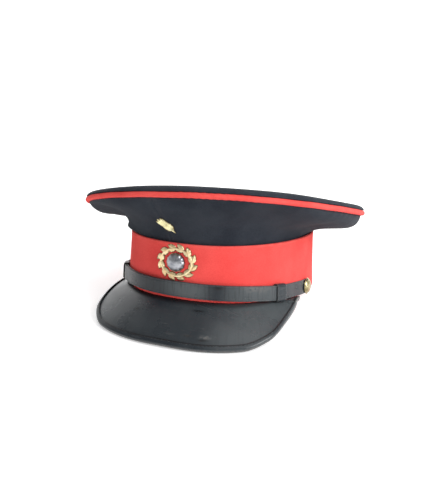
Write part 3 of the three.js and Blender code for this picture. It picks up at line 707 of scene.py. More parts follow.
def peak_point(angle, distance, raised):
    """A point of the peak: out from the band's lower edge by the distance, down a slope that eases from
    steep at the front to nearly level at the temples, raised off a face that bows up in the middle."""
    root_x, root_y, _ = np.moveaxis(band_point(angle, 0, -PEAK_ROOT_INSET), -1, 0)
    normal_x, normal_y = band_normal(angle)
    heading = np.arctan2(normal_x, -normal_y) * PEAK_FAN
    slope = part_way(*PEAK_SLOPE, (np.abs(angle) / PEAK_HALF_SPAN) ** 2)
    reach = peak_reach(angle)
    share = np.clip(distance / reach, 0, 1)
    lift = PEAK_BOW * 4 * share * (1 - share) * np.minimum(1, reach / PEAK_REACH["reach"][0]) + raised
    level = distance * np.cos(slope) + lift * np.sin(slope)
    height = band_low(angle) - SEWN_GAP - distance * np.sin(slope) + lift * np.cos(slope)
    return xyz(root_x + level * np.sin(heading), root_y - level * np.cos(heading), height)


def stretched(place, per_metre, rotation=(0, 0, 0)):
    """A place turned, and stretched to so many to the metre each way."""
    inputs = {"Vector": place, "Rotation": rotation, "Scale": per_metre}
    return add(place.id_data, "Mapping", inputs).outputs[0]


def patent_leather(name, shine, cracked):
    """Black lacquered leather: greyer towards the wearer's left, a painted sheen where the key lamp falls,
    and in a broad mottle; bare where it is rubbed through and in fine scratches, and paler in painted
    highlights;
    dark in bruises, in painted shade and in cracks across the piece. The gloss dulls in clouds, in
    scratches and where it is worn, over a fine grain and slow dents."""
    material = finish(name, Specular_IOR_Level=shine)
    place = on_piece(material)
    cloud = clouds(place, per_metre=45, detail=5, low=0.38, high=0.66)
    across = add(material.node_tree, "SeparateXYZ", {"Vector": place}).outputs["X"]
    painted_sheen_and_tone = summed(PAINTED_SHEEN_AND_TONE, pale=mark(material, "pale"), cloud=cloud, left=between(across, *PAINTED_SHEEN_ACROSS))
    streaks = stretched(place, SCRATCHES_PER_METRE, SCRATCHES_TURNED)
    scratch = clouds(streaks, per_metre=1, detail=2, low=0.62, high=0.72)
    rub = clouds(place, per_metre=420, detail=4, low=0.40, high=0.60)
    worn = reckon("MULTIPLY", mark(material, "worn"), rub)
    bare = reckon("MAXIMUM", worn, reckon("MULTIPLY", scratch, SCRATCH_BARE))
    lacquer = mixed(bare, mixed(painted_sheen_and_tone, LACQUER_BLACK, LACQUER_GREY), LACQUER_BARE_AND_HIGHLIGHT)
    bends = stretched(on_cloth(material), CRACKS_PER_METRE)
    crack = clouds(bends, per_metre=1, detail=3, low=0.52, high=0.66)
    dark = reckon("MAXIMUM", mark(material, "bruise"), reckon("MULTIPLY", crack, cracked))
    cells = {"Vector": place, "Scale": 1300, "Smoothness": 0.6}
    grain = add(material.node_tree, "TexVoronoi", cells, feature="SMOOTH_F1").outputs["Distance"]
    dents = noise(place, per_metre=60, detail=2)
    relief = summed(LACQUER_RELIEF, dents=dents, grain=grain, pitted=reckon("MULTIPLY", worn, rub))
    return dressed(
        material, relief, strength=0.5, distance=0.0006, Base_Color=mixed(dark, lacquer, LACQUER_BRUISE_AND_PAINTED_SHADE),
        Roughness=summed(LACQUER_DULL, scratch=scratch, cloud=cloud, worn=worn))


def spotted(table, angle, place):
    """How bruised, worn and pale a piece is, where some spots are painted shade or painted highlights. Each
    row of the table is a spot: a bell curve in the angle times one in the place, times the row's depth of
    each mark."""
    column = {name: np.array(values) for name, values in table.items()}
    across = hump(np.degrees(angle)[..., None], 1, column["wide"], column["angle"])
    spots = hump(place[..., None], across, column["long"], column["place"])
    return {kind: spots @ column[kind] for kind in ("bruise", "worn", "pale")}


def peak_mesh():
    """The peak's wall: down inside the band, out and down the slope, and back along the under face. It has
    a painted shade along the root, under the strap."""
    angle = PEAK_ANGLES
    edge = peak_reach(angle) - BINDING_WALL - BINDING_GAP
    share = np.linspace(0, 1, PEAK_STEPS["out"])[None, :]
    down = np.linspace(0, 1, PEAK_STEPS["flange"])[None, :]
    low = band_low(angle)
    sides = []
    for depth in (0, PEAK_WALL):
        root = part_way(low + PEAK_FLANGE, low - SEWN_GAP - depth, down)
        slope = peak_point(angle, edge * share, -depth)
        sides.append(np.hstack([band_point(angle, root, BAND_INSIDE - depth), slope]))
    spots = spotted(PEAK_MARKS, angle, share)
    shade = ROOT_SHADE["bruise"] * np.exp(-(share / ROOT_SHADE["share"]) ** 4)
    spots["bruise"] = np.maximum(spots["bruise"], shade)
    beside = ((0, 0), (down.size, sides[1].shape[1]))
    on_face = {kind: np.pad(value, beside) for kind, value in spots.items()}
    return skin("leather_peak", there_and_back(*sides), "wall", **on_face)


patent = patent_leather("patent_leather", shine=0.52, cracked=0.12)
fit(peak_mesh(), patent, "patent_leather", "peak")

# The peak's binding
# A strip of the same leather folded over the peak's edge and sewn through with a row of black thread. It
# is thick and round along the edge, and the most rubbed part of the cap.

BINDING_LEG = 0.0046
BINDING_LEG_SHARE = 0.55
BINDING_NOSE = 0.0020
BINDING_ROUND = 2.6
BINDING_STEPS = {"leg": 8, "nose": 23}
# The dark line in the groove is a painted shade. The rubbed band along the nose is partly wear and partly a
# painted highlight.
BINDING_GROOVE_SHADE = {"size": 0.95, "wide": 0.0011}
BINDING_RUB_AND_HIGHLIGHT = {"size": 1.5, "wide": 0.12}
BINDING_PALE = -0.3
STITCH_FROM_EDGE = 0.0012
STITCH_EVERY = 0.0030
STITCH_LENGTH = 0.0021
STITCH_RADIUS = 0.00030
STITCH_SUNK = 0.6
STITCH_ENDS = 0.95
STITCH_ROW_END = 0.93
STITCH_STEPS = {"along": 7, "round": 8, "row": 600}

THREAD_BLACK = (0.012, 0.012, 0.013, 1)


def binding_leg(angle):
    """How far the strip comes in over the peak: its leg, or a share of the peak's reach if that is less."""
    return np.minimum(BINDING_LEG, BINDING_LEG_SHARE * peak_reach(angle))


def fold_over(angle, grown):
    """The strip's fold in section, from the upper leg round the nose to the lower leg, as a distance from
    the band and a height off the peak: two straight legs and half a rounded oblong, grown outwards."""
    leg, reach = binding_leg(angle), peak_reach(angle)
    nose = np.minimum(BINDING_NOSE, leg / 2)
    legs = part_way(reach - leg, reach - nose, np.linspace(0, 1, BINDING_STEPS["leg"])[None, :])
    turn = np.linspace(np.pi / 2, -np.pi / 2, BINDING_STEPS["nose"])[None, 1:-1]
    nose_out, nose_up = signed_power(np.stack([np.cos(turn), np.sin(turn)]), 2 / BINDING_ROUND)
    tip = reach - nose + (nose - BINDING_WALL + grown) * nose_out
    flat = np.ones((1, BINDING_STEPS["leg"]))
    raised = (PEAK_WALL / 2 + BINDING_GAP + grown) * np.hstack([flat, nose_up, -flat])
    return np.hstack([legs, tip, legs[:, ::-1]]), raised - PEAK_WALL / 2


def binding_mesh():
    """The folded strip carried along the peak's edge: its outer fold, and back along its inner one, rubbed
    along the nose, where the bare colour is also a painted highlight, and with a painted shade in the
    groove where it meets the peak."""
    angle = PEAK_ANGLES
    distance, raised = fold_over(angle, BINDING_WALL)
    outer = peak_point(angle, distance, raised)
    inner = peak_point(angle, *fold_over(angle, 0))
    rubbed = hump(np.linspace(-1, 1, distance.shape[1])[None, :], **BINDING_RUB_AND_HIGHLIGHT)
    groove = hump(distance - peak_reach(angle) + binding_leg(angle), **BINDING_GROOVE_SHADE)
    worn, bruise = (np.hstack([value, 0 * value]) for value in (rubbed, groove))
    rings = there_and_back(outer, inner)
    return skin("peak_edge_binding", rings, "wall", worn=worn, bruise=bruise, pale=BINDING_PALE)


def thread_run(line, raised):
    """Places one stitch apart along a line: the point, the way that the line runs there, and the way up to
    the raised line, square to the run."""
    walked = np.concatenate([[0], np.cumsum(np.linalg.norm(np.diff(line, axis=0), axis=-1))])
    places = np.arange(STITCH_EVERY / 2, walked[-1], STITCH_EVERY)
    point, ahead, above = (
        np.stack([np.interp(places + step, walked, points[:, axis]) for axis in range(3)], axis=-1)
        for points, step in ((line, 0), (line, STITCH_EVERY / 4), (raised, 0)))
    run = unit(ahead - point)
    off = above - point
    return point, run, unit(off - run * np.sum(off * run, axis=-1, keepdims=True))


def stitch_mesh(name, lines):
    """Stitches along pairs of lines: small spindles, whose radius is the root of one less the square of
    the share along them, sunk a little at both ends."""
    along = np.linspace(-STITCH_ENDS, STITCH_ENDS, STITCH_STEPS["along"])[:, None]
    turn = once_round(STITCH_STEPS["round"], start=0)[None, :]
    radius = STITCH_RADIUS * np.sqrt(1 - along ** 2)
    up = radius * np.sin(turn) - STITCH_RADIUS * STITCH_SUNK * along ** 2
    sizes = along * STITCH_LENGTH / 2 + 0 * turn, radius * np.cos(turn), up
    grids = []
    for line, raised in lines:
        point, run, off = thread_run(line, raised)
        ways = run, np.cross(off, run), off
        spread = sum(size[..., None] * way[:, None, None, :] for size, way in zip(sizes, ways))
        grids.append(point[:, None, None, :] + spread)
    return skin(name, np.concatenate(grids), "pole")


def thread(name):
    """Waxed black thread: near black, with a twisted ply as a fine slanting ripple."""
    material = finish(name, Roughness=0.55, Specular_IOR_Level=0.4)
    dust = clouds(on_piece(material), per_metre=300, detail=2, low=0.45, high=0.7)
    ply = ribs(on_cloth(material), per_metre=900)
    colour = mixed(dust, THREAD_BLACK, LACQUER_GREY)
    return dressed(material, ply, strength=0.6, distance=0.0001, Base_Color=colour)


fit(binding_mesh(), patent, "patent_leather", "peak_binding")
stitch_row = np.linspace(-STITCH_ROW_END, STITCH_ROW_END, STITCH_STEPS["row"])
stitch_angle = stitch_row[:, None] * PEAK_HALF_SPAN
stitch_out = peak_reach(stitch_angle) - binding_leg(stitch_angle) + STITCH_FROM_EDGE
upper_face = BINDING_GAP + BINDING_WALL
lower_face = -PEAK_WALL - upper_face
stitch_lines = [
    [peak_point(stitch_angle, stitch_out, height)[:, 0] for height in heights]
    for heights in ((upper_face, upper_face + PEAK_WALL), (lower_face, lower_face - PEAK_WALL))]
fit(stitch_mesh("peak_stitching", stitch_lines), thread("black_thread"), "patent_leather")

# The chin strap
# Two flat straps of patent leather across the front, one lying on the other. Each is buttoned at one side,
# where its end is round, and runs through both keepers. A crease is pressed along both edges.

STRAP_WIDTH = 0.0128
STRAP_WALL = 0.0014
STRAP_EDGE = 0.0005
STRAP_HEIGHT = {"front": 0.0105, "left": 0.0059, "right": 0.0087}
STRAP_LAND = (np.radians(-76), np.radians(-66))
STRAP_CREASE = {"size": 0.00016, "middle": 0.0013, "wide": 0.00028}
STRAP_RUBBED = {"size": 0.55, "wide": 0.0005}
STRAP_HOLD = 0.0033
STRAP_TIP = 0.12
STRAP_STEPS = {"end": 14, "run": 240}
# Spots on the strap: a dark dent, paler and darker patches, and at 43 degrees a worn, pale spot that is a
# painted highlight on the strap's upper part.
STRAP_MARKS = {
    "angle": (21, 4, 20, 43, 76),
    "place": (0.66, 0.2, 0, 0.7, 0),
    "wide": (2.4, 11, 6, 7, 14),
    "long": (0.24, 2, 2, 0.5, 3),
    "bruise": (1.0, 0, 0, 0, 0.15),
    "worn": (0, 0, 0, 0.9, 0),
    "pale": (0, 0.8, -0.6, 0.2, -0.7),
}
BUTTON_ANGLE = np.radians(86)
KEEPER_ANGLE = np.radians(58)
KEEPER_WALL = 0.0010
KEEPER_SPREAD = np.radians(11)


def strap_height(angle):
    """The height of the strap's middle line, which sinks with the angle's square to each button."""
    share = np.minimum(1, np.abs(angle) / BUTTON_ANGLE)
    side = np.where(angle < 0, STRAP_HEIGHT["right"], STRAP_HEIGHT["left"])
    return part_way(STRAP_HEIGHT["front"], side, share ** 2)


def strap_offset(angle, outer):
    """How far the strap's back lies off the band: a small gap, a rise over each keeper's back, and for the
    outer strap the inner one's thickness until it comes down to its own button."""
    away = (np.abs(angle) - KEEPER_ANGLE) / KEEPER_SPREAD
    lift = (KEEPER_WALL + SEWN_GAP) * np.exp(-away ** 4)
    share = np.clip((angle - STRAP_LAND[0]) / (STRAP_LAND[1] - STRAP_LAND[0]), 0, 1)
    rides = eased(share) if outer else 0
    return SEWN_GAP + lift + (STRAP_WALL + SEWN_GAP) * rides


def strap_mesh(name, outer):
    """A rounded oblong carried from the button's round end across the front to the far keeper, with two
    creases and rubbed edges."""
    radius = STRAP_WIDTH / 2
    turn = np.linspace(0, np.pi / 2, STRAP_STEPS["end"])[:-1]
    tip = BUTTON_ANGLE + radius / BAND_HALF_LENGTH[0] * np.cos(turn)
    far = -KEEPER_ANGLE - STRAP_HOLD / BAND_HALF_LENGTH[0]
    run = np.linspace(BUTTON_ANGLE, far, STRAP_STEPS["run"])
    angle = (-1 if outer else 1) * np.concatenate([tip, run])[:, None]
    half = radius * np.concatenate([np.maximum(STRAP_TIP, np.sin(turn)), np.ones(run.size)])[:, None]
    near = strap_offset(angle, outer)
    middle = strap_height(angle)
    loop = oblong_loop(face_steps=44, corner_steps=6)
    height, offset = oblong(middle - half, middle + half, near, near + STRAP_WALL, STRAP_EDGE, loop)
    from_edge = half - np.abs(height - middle)
    face = outer_face(loop)
    spots = spotted(STRAP_MARKS, angle, (height - middle) / radius)
    spots["worn"] = np.maximum(hump(from_edge, **STRAP_RUBBED), spots["worn"])
    rings = band_point(angle, height, offset - hump(from_edge, **STRAP_CREASE) * face)
    return skin(name, rings, "pole", **{kind: value * face for kind, value in spots.items()})


strap_leather = patent_leather("strap_leather", shine=0.32, cracked=0.4)
fit(strap_mesh("outer_strap", True), strap_leather, "patent_leather", "strap_outer")
fit(strap_mesh("inner_strap", False), strap_leather, "patent_leather", "strap_inner")

# The keepers
# Two small loops of patent leather, one on each side of the front, closed round both straps to hold them
# together. They slide, and their edges are rubbed.

KEEPER_WIDTH = 0.011
KEEPER_CORNER = 0.0014
KEEPER_EDGE = 0.0003
KEEPER_PALE = -0.4
KEEPER_RUBBED = {"size": 0.5, "middle": KEEPER_WIDTH / 2, "wide": 0.0005}
SIDES = {"left": 1, "right": -1}


def keeper_mesh(name, side):
    """A rounded oblong bent round the two straps: the path is a larger rounded oblong in height and
    offset, and the section's thickness is added square to it."""
    up, out, facing = (part[:, None] for part in oblong_loop(face_steps=10, corner_steps=6))
    section = oblong_loop(face_steps=12, corner_steps=4)
    across, grown = oblong(-KEEPER_WIDTH / 2, KEEPER_WIDTH / 2, 0, KEEPER_WALL, KEEPER_EDGE, section)
    angle = side * KEEPER_ANGLE + across / BAND_HALF_LENGTH[0]
    half = STRAP_WIDTH / 2 + SEWN_GAP - KEEPER_CORNER
    near = SEWN_GAP + KEEPER_WALL + KEEPER_CORNER
    far = near + SEWN_GAP + 2 * (STRAP_WALL + SEWN_GAP) - 2 * KEEPER_CORNER
    height = strap_height(angle) + half * (2 * up - 1) + (KEEPER_CORNER + grown) * np.sin(facing)
    offset = part_way(near, far, out) + (KEEPER_CORNER + grown) * np.cos(facing)
    worn = hump(np.abs(across), **KEEPER_RUBBED)
    return skin(name, band_point(angle, height, offset), "ring", worn=worn, pale=KEEPER_PALE)


for side, turn in SIDES.items():
    fit(keeper_mesh(f"{side}_keeper", turn), strap_leather, "patent_leather", f"keeper_{side}")

# The side buttons
# Two small gilt buttons that hold the strap's ends: a plain dome inside a turned rim, stamped from sheet,
# with a shank through the strap. The gilt is worn, and dark in the groove.

BUTTON_RADIUS = 0.0074
BUTTON_DOME = 0.0028
BUTTON_RIM = 0.0007
BUTTON_GROOVE = 0.0003
BUTTON_SHANK = 0.0019
BUTTON_STEPS = 64
BUTTON_RIM_TURN = np.linspace(-np.pi / 2, np.pi * 0.8, 12)
BUTTON_DOME_TURN = np.linspace(0.12, np.pi / 2 - 0.05, 20)
BUTTON_CLEAN = {"rim": 0.4, "dome": 0.15, "climb": 0.4}
LEAN_STEP = 0.0005

GILT_BRIGHT = (1.0, 0.86, 0.54, 1)
GILT_DEEP = (0.95, 0.71, 0.39, 1)
GILT_DARK = (0.12, 0.076, 0.030, 1)
BUTTON_BRIGHT = (0.50, 0.44, 0.25, 1)
BUTTON_DEEP = (0.22, 0.20, 0.10, 1)
METAL_DULL = {"mottle": 0.12, "grime": 0.35}


def metal(name, bright, deep, dark, dull):
    """Worn plated metal: bright and deep plating mixed by a fine mottle, dark dirt where the relief is
    low, a roughness that follows the dirt, and small dents as bump."""
    material = finish(name, Metallic=1.0)
    place = on_piece(material)
    mottle = clouds(place, per_metre=260, detail=4, low=0.35, high=0.65)
    dirt = reckon("SUBTRACT", noise(place, per_metre=520, detail=3), mark(material, "relief"))
    grime = between(dirt, low=0.0, high=0.45)
    return dressed(
        material, noise(place, per_metre=900, detail=3), strength=0.25, distance=0.0003,
        Base_Color=mixed(grime, mixed(mottle, bright, deep), dark),
        Roughness=summed({"start": dull, **METAL_DULL}, mottle=mottle, grime=grime))


def band_outward(angle, height):
    """The way out of the band's face: across the oval, and up by how much it narrows with the height."""
    normal_x, normal_y = band_normal(angle)
    step = band_point(angle, height - LEAN_STEP, 0) - band_point(angle, height + LEAN_STEP, 0)
    lean = (step[0] * normal_x + step[1] * normal_y) / (2 * LEAN_STEP)
    return unit(np.array([normal_x, normal_y, lean]))


def button_mesh(name, side):
    """A profile turned round its axis: the shank, the flat back, a round rim, a groove and the dome."""
    strap_face = SEWN_GAP + STRAP_WALL
    under = strap_face + SEWN_GAP
    bead = BUTTON_RIM / 2
    dome_foot = under + BUTTON_RIM - BUTTON_GROOVE
    out = np.concatenate([
        [BUTTON_SHANK, BUTTON_SHANK],
        BUTTON_RADIUS - bead + bead * np.cos(BUTTON_RIM_TURN),
        (BUTTON_RADIUS - 2 * bead) * np.cos(BUTTON_DOME_TURN)])
    up = np.concatenate([
        [strap_face, under],
        under + bead + bead * np.sin(BUTTON_RIM_TURN),
        dome_foot + (BUTTON_DOME + BUTTON_GROOVE) * np.sin(BUTTON_DOME_TURN)])
    relief = np.concatenate([
        [0, 0],
        part_way(BUTTON_CLEAN["rim"], 1, np.cos(BUTTON_RIM_TURN).clip(0)),
        part_way(BUTTON_CLEAN["dome"], 1, np.sin(BUTTON_DOME_TURN) ** BUTTON_CLEAN["climb"])])
    turn = once_round(BUTTON_STEPS, start=0)[None, :, None]
    angle = side * BUTTON_ANGLE
    height = strap_height(angle)
    outward = band_outward(angle, height)
    aside = unit(np.cross([0, 0, 1], outward))
    spoke = np.cos(turn) * aside + np.sin(turn) * np.cross(outward, aside)
    rings = band_point(angle, height, 0) + out[:, None, None] * spoke + up[:, None, None] * outward
    return skin(name, rings, "pole", relief=relief[:, None])


button_gilt = metal("button_gilt", BUTTON_BRIGHT, BUTTON_DEEP, GILT_DARK, dull=0.22)
for side, turn in SIDES.items():
    fit(button_mesh(f"{side}_button", turn), button_gilt, "gilt", f"button_{side}")

# The leaf ring
# A closed ring of plain pointed leaves on a thin oval stem, cast in gilt metal and bent to the front of
# the band. The leaves go round in pairs, each with a rib and veins.

RING_X = -0.0025
RING_HEIGHT = 0.0324
RING_HALF_WIDTH = 0.0138
RING_HALF_HEIGHT = 0.0114
RING_STEM = 0.0020
RING_STEM_HEIGHT = 0.0014
RING_STEM_CLEAN = (0.25, 0.65)
RING_STEPS = {"round": 160, "stem": 12}
RING_PAIRS = 12
RING_LEAF = (0.0084, 0.0048, 0.0020)
RING_SPLAY = np.radians(17)

LEAF_ALONG = np.linspace(0.015, 0.985, 19)[:, None]
LEAF_ACROSS = np.linspace(-1, 1, 17)[None, :]
LEAF_OUTLINE = {"pull": 0.85, "blunt": 0.75}
LEAF_SWELL = {"pull": 0.7, "blunt": 0.6}
LEAF_ROUND = 0.9
LEAF_ARCH = 0.78
LEAF_RIB = {"size": 0.28, "wide": 0.10}
LEAF_VEINS = {"size": 0.07, "along": 5.5, "slant": 1.6, "shine": 2.5}


def lens(along, pull, blunt):
    """A leaf's outline: the sine of the share along it, pulled to the foot and blunted by powers."""
    return np.sin(np.pi * along ** pull) ** blunt


def leaf_grid(length, width, height):
    """A pointed leaf along +x, as loops across it: over the top a round arch with a raised rib and veins
    that slant back from it, and flat underneath. Gives the loops and their relief."""
    side = width / 2 * lens(LEAF_ALONG, **LEAF_OUTLINE) * LEAF_ACROSS
    arch = np.sqrt(1 - LEAF_ROUND * LEAF_ACROSS ** 2) - np.sqrt(1 - LEAF_ROUND)
    rib = hump(LEAF_ACROSS, **LEAF_RIB)
    phase = LEAF_VEINS["along"] * LEAF_ALONG - LEAF_VEINS["slant"] * np.abs(LEAF_ACROSS)
    veins = LEAF_VEINS["size"] * np.cos(2 * np.pi * phase) * (1 - LEAF_ACROSS ** 2)
    swell = lens(LEAF_ALONG, **LEAF_SWELL)
    upper = xyz(length * LEAF_ALONG, side, height * swell * (LEAF_ARCH * arch + rib + veins))
    lower = (upper * [1, 1, 0])[:, -2:0:-1]
    relief = np.hstack([(arch + rib + LEAF_VEINS["shine"] * veins) * swell, 0 * lower[..., 0]])
    return np.hstack([upper, lower]), relief


def turned(grid, angle, x, y):
    """Copies of a flat grid, each turned about z by an angle and moved."""
    cosine, sine, x, y = (value[:, None, None] for value in (np.cos(angle), np.sin(angle), x, y))
    along, across, up = np.moveaxis(grid, -1, 0)
    return xyz(x + cosine * along - sine * across, y + sine * along + cosine * across, up)


def on_band_front(flat):
    """A flat ornament, x across, y up and z off its back, bent round the front of the band: the angle is
    the one whose sine, to the power two over the roundness, is x over the band's half width."""
    across = (RING_X + flat[..., 0]) / BAND_HALF_WIDTH[1]
    angle = np.arcsin(signed_power(across, BAND_ROUNDNESS / 2))
    return band_point(angle, RING_HEIGHT + flat[..., 1], SEWN_GAP + flat[..., 2])


def joined(name, *pieces):
    """Several meshes made one object."""
    with bpy.context.temp_override(active_object=pieces[0], selected_editable_objects=list(pieces)):
        bpy.ops.object.join()
    pieces[0].name = name
    return pieces[0]


def leaf_ring():
    """The stem, a rounded bar carried round an oval, and pairs of leaves that leave it on both sides."""
    turn = once_round(RING_STEPS["round"])[:, None]
    loop = once_round(RING_STEPS["stem"], start=0)[None, :]
    out = RING_STEM / 2 * np.cos(loop)
    up = RING_STEM_HEIGHT * (0.5 + 0.5 * np.sin(loop))
    stem = xyz((RING_HALF_WIDTH + out) * np.cos(turn), (RING_HALF_HEIGHT + out) * np.sin(turn), up)
    grid, relief = leaf_grid(*RING_LEAF)
    place = np.repeat(once_round(RING_PAIRS), 2)
    lean = np.tile([RING_SPLAY, -RING_SPLAY], RING_PAIRS)
    heading = np.arctan2(RING_HALF_HEIGHT * np.cos(place), -RING_HALF_WIDTH * np.sin(place)) + lean
    leaves = turned(grid, heading, RING_HALF_WIDTH * np.cos(place), RING_HALF_HEIGHT * np.sin(place))
    clean = part_way(*RING_STEM_CLEAN, np.sin(loop))
    return joined(
        "gilt_leaf_ring",
        skin("ring_leaves", on_band_front(leaves), "pole", relief=relief),
        skin("ring_stem", on_band_front(stem), "ring", relief=clean))


gilt = metal("gilt", GILT_BRIGHT, GILT_DEEP, GILT_DARK, dull=0.32)
fit(leaf_ring(), gilt, "gilt", "badge_garland")

# The boss
# A plain silver dome inside the leaf ring, cast with shallow flutes round its foot and worn bright on top.
# It is pinned through the band with the ring.

BOSS_RADIUS = 0.0080
BOSS_EDGE = 0.0008
BOSS_HEIGHT = 0.0052
BOSS_FLUTES = 12
BOSS_FLUTE_DEPTH = 0.00035
BOSS_FLUTE_DIRT = 0.35
BOSS_STEPS = {"flute": 12, "climb": 26}
BOSS_TOP = np.pi / 2 - 0.04

SILVER_BRIGHT = (0.46, 0.47, 0.50, 1)
SILVER_DEEP = (0.24, 0.25, 0.28, 1)
SILVER_DARK = (0.05, 0.05, 0.06, 1)


def boss_mesh():
    """A quarter ellipse turned round its axis, its radius waved by flutes that fade towards the top."""
    turn = once_round(BOSS_STEPS["flute"] * BOSS_FLUTES, start=0)[None, :]
    climb = np.linspace(0, BOSS_TOP, BOSS_STEPS["climb"])[:, None]
    out = np.concatenate([[[1]], np.cos(climb)])
    up = np.concatenate([[[0]], part_way(BOSS_EDGE, BOSS_HEIGHT, np.sin(climb))])
    flute = 0.5 - 0.5 * np.cos(BOSS_FLUTES * turn)
    radius = out * (BOSS_RADIUS - BOSS_FLUTE_DEPTH * flute)
    relief = np.sqrt(up / BOSS_HEIGHT) - BOSS_FLUTE_DIRT * flute * out
    flat = xyz(radius * np.cos(turn), radius * np.sin(turn), up)
    return skin("silver_boss", on_band_front(flat), "pole", relief=relief)


silver = metal("silver", SILVER_BRIGHT, SILVER_DEEP, SILVER_DARK, dull=0.3)
fit(boss_mesh(), silver, "silver", "badge_boss")

# The sprig
# Five small leaves on a stalk, cast in one piece of pale gilt metal. It is pinned flat to the front of the
# crown, on the slant, with its leaves up.

SPRIG_ANGLE = np.radians(-4.2)
SPRIG_SHARE = 0.33
SPRIG_NEARBY = 0.05
SPRIG_TURN = np.radians(128)
SPRIG_STALK = (0.013, 0.0028, 0.0018)
SPRIG_STALK_OVERLAP = 0.004
SPRIG_LEAF = (0.0104, 0.0063, 0.0018)
SPRIG_SPLAY = np.radians(23)
SPRIG_LEAVES = {"back": (0, 0, 0, 0.0055, 0.0055), "side": (0, -1, 1, -1, 1)}

LEMON_BRIGHT = (1.0, 0.96, 0.60, 1)
LEMON_DEEP = (0.98, 0.90, 0.50, 1)


def on_crown_front(flat):
    """A flat ornament on the crown's side: x goes round the crown, y up its curve and z off the cloth."""
    low, middle, high = (
        quarter_point(np.array(SPRIG_ANGLE), np.array(SPRIG_SHARE + step), 0)
        for step in (-SPRIG_NEARBY, 0, SPRIG_NEARBY))
    length_per_share = np.linalg.norm(high - low) / (2 * SPRIG_NEARBY)
    angle = SPRIG_ANGLE + flat[..., 0] / np.hypot(*middle[:2])
    share = SPRIG_SHARE + flat[..., 1] / length_per_share
    return quarter_point(angle, share, -SEWN_GAP - flat[..., 2])


def sprig_mesh():
    """Three leaves fanned from one foot, two more behind them, and a narrow leaf back as the stalk."""
    leaf, leaf_relief = leaf_grid(*SPRIG_LEAF)
    stalk, stalk_relief = leaf_grid(*SPRIG_STALK)
    ahead = np.array([[np.cos(SPRIG_TURN)], [np.sin(SPRIG_TURN)]])
    headings = SPRIG_TURN + SPRIG_SPLAY * np.array(SPRIG_LEAVES["side"])
    leaves = turned(leaf, headings, *(-ahead * SPRIG_LEAVES["back"]))
    tail = turned(stalk, np.array([SPRIG_TURN + np.pi]), *(SPRIG_STALK_OVERLAP * ahead))
    return joined(
        "gilt_sprig",
        skin("sprig_leaves", on_crown_front(leaves), "pole", relief=leaf_relief),
        skin("sprig_stalk", on_crown_front(tail), "pole", relief=stalk_relief))


lemon_gilt = metal("lemon_gilt", LEMON_BRIGHT, LEMON_DEEP, GILT_DARK, dull=0.32)
fit(sprig_mesh(), lemon_gilt, "gilt", "badge_sprig")

# The floor, the light and the camera
# A plain white floor curves up into a lit white backdrop. A large soft lamp stands to the right of the
# camera and a second hangs overhead. The camera is a little above the cap, to the wearer's left.

FLOOR_FRONT = 4.0
FLOOR_BACK = 0.7
FLOOR_HALF_WIDTH = 4.0
SWEEP_RADIUS = 0.5
SWEEP_TOP = 2.0
SWEEP_STEPS = 24
FLOOR_COLOUR = (0.90, 0.90, 0.90, 1)
STAGE_GLOW = {"floor": 0.48, "backdrop": 0.62}
SKY_STRENGTH = 0.37
SKY_COLOUR = (1, 1, 1, 1)
KEY = {"place": (1.85, -0.45, 1.2), "size": 1.4, "power": 53}
TOP_LAMP = {"place": (0.55, -0.2, 1.8), "size": 1.2, "power": 4}
LAMP_UP = (0, 1, 0.01)

VIEW_AZIMUTH = np.radians(22.640)
VIEW_ELEVATION = np.radians(10.336)
VIEW_ROLL = np.radians(-2.569)
VIEW_DISTANCE = 0.6
VIEW_SHIFT = (-0.010899, 0.026959)
LENS_MM = 44.475

view_right = np.array([np.cos(VIEW_AZIMUTH), np.sin(VIEW_AZIMUTH), 0])
view_ahead = np.array([-np.sin(VIEW_AZIMUTH), np.cos(VIEW_AZIMUTH), 0])


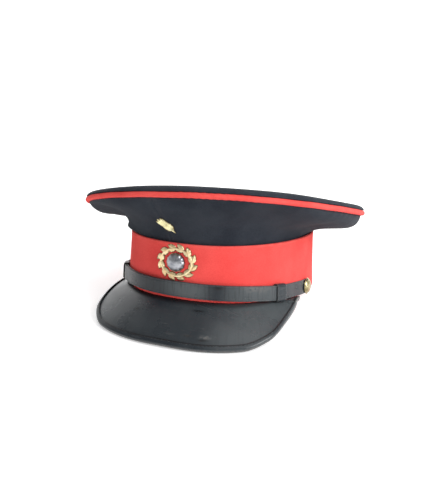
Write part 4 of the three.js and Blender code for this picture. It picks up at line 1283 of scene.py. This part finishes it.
def floor_mesh():
    """A strip in two parts that faces the camera: the flat floor, and a sweep that leaves it in a quarter
    circle and goes straight up. Both glow, the sweep more."""
    turn = np.linspace(0, np.pi / 2, SWEEP_STEPS)[1:]
    wall = FLOOR_BACK + SWEEP_RADIUS
    out = np.concatenate([[-FLOOR_FRONT, FLOOR_BACK], FLOOR_BACK + SWEEP_RADIUS * np.sin(turn), [wall]])
    up = np.concatenate([[0, 0], SWEEP_RADIUS * (1 - np.cos(turn)), [SWEEP_TOP]])
    line = out[:, None] * view_ahead + up[:, None] * [0, 0, 1]
    side = FLOOR_HALF_WIDTH * np.array([[-1], [1]]) * view_right
    points = (line[:, None] + side).reshape(-1, 3).tolist()
    faces = (2 * np.arange(len(out) - 1)[:, None] + [0, 1, 3, 2]).tolist()
    for (name, glow), part in zip(STAGE_GLOW.items(), (faces[:1], faces[1:])):
        mesh = bpy.data.meshes.new(name)
        mesh.from_pydata(points, [], part)
        mesh.shade_smooth()
        mesh.materials.append(finish(
            f"lit_{name}", Base_Color=FLOOR_COLOUR, Emission_Color=FLOOR_COLOUR, Emission_Strength=glow))
        new_object(name, mesh)


def standing(right, up, back, place):
    """The matrix of a thing with these three axes at this place."""
    matrix = np.eye(4)
    matrix[:3] = np.stack([right, up, back, place], axis=-1)
    return Matrix(matrix.tolist())


def lamp(name, values):
    """A square soft lamp that looks at the middle of the cap."""
    light = bpy.data.lights.new(name, "AREA")
    light.shape = "SQUARE"
    light.size = values["size"]
    light.energy = values["power"]
    place = np.array(values["place"])
    back = unit(place - [0, 0, solid_box[1][2] / 2])
    right = unit(np.cross(LAMP_UP, back))
    new_object(name, light).matrix_world = standing(right, np.cross(back, right), back, place)


def camera():
    """Looks along a line set by its azimuth and elevation in the upright cap's frame, rolled a little,
    then leans back with the cap."""
    back = np.sin(VIEW_ELEVATION) * np.array([0, 0, 1]) - np.cos(VIEW_ELEVATION) * view_ahead
    up = np.cross(back, view_right)
    place = VIEW_DISTANCE * back + VIEW_SHIFT[0] * view_right + VIEW_SHIFT[1] * up
    rolled_right = np.cos(VIEW_ROLL) * view_right - np.sin(VIEW_ROLL) * up
    rolled_up = np.sin(VIEW_ROLL) * view_right + np.cos(VIEW_ROLL) * up
    axes = [leaned(axis) for axis in (rolled_right, rolled_up, back)]
    view = bpy.data.cameras.new("camera")
    view.lens = LENS_MM
    holder = new_object("camera", view)
    holder.matrix_world = standing(*axes, at_rest(place))
    bpy.context.scene.camera = holder


floor_mesh()
lamp("key_lamp", KEY)
lamp("top_lamp", TOP_LAMP)
camera()
sky = bpy.data.worlds.new("sky")
sky.use_nodes = True
sky.node_tree.nodes["Background"].inputs["Strength"].default_value = SKY_STRENGTH
sky.node_tree.nodes["Background"].inputs["Color"].default_value = SKY_COLOUR
bpy.context.scene.world = sky
bpy.context.scene.view_settings.view_transform = "Standard"
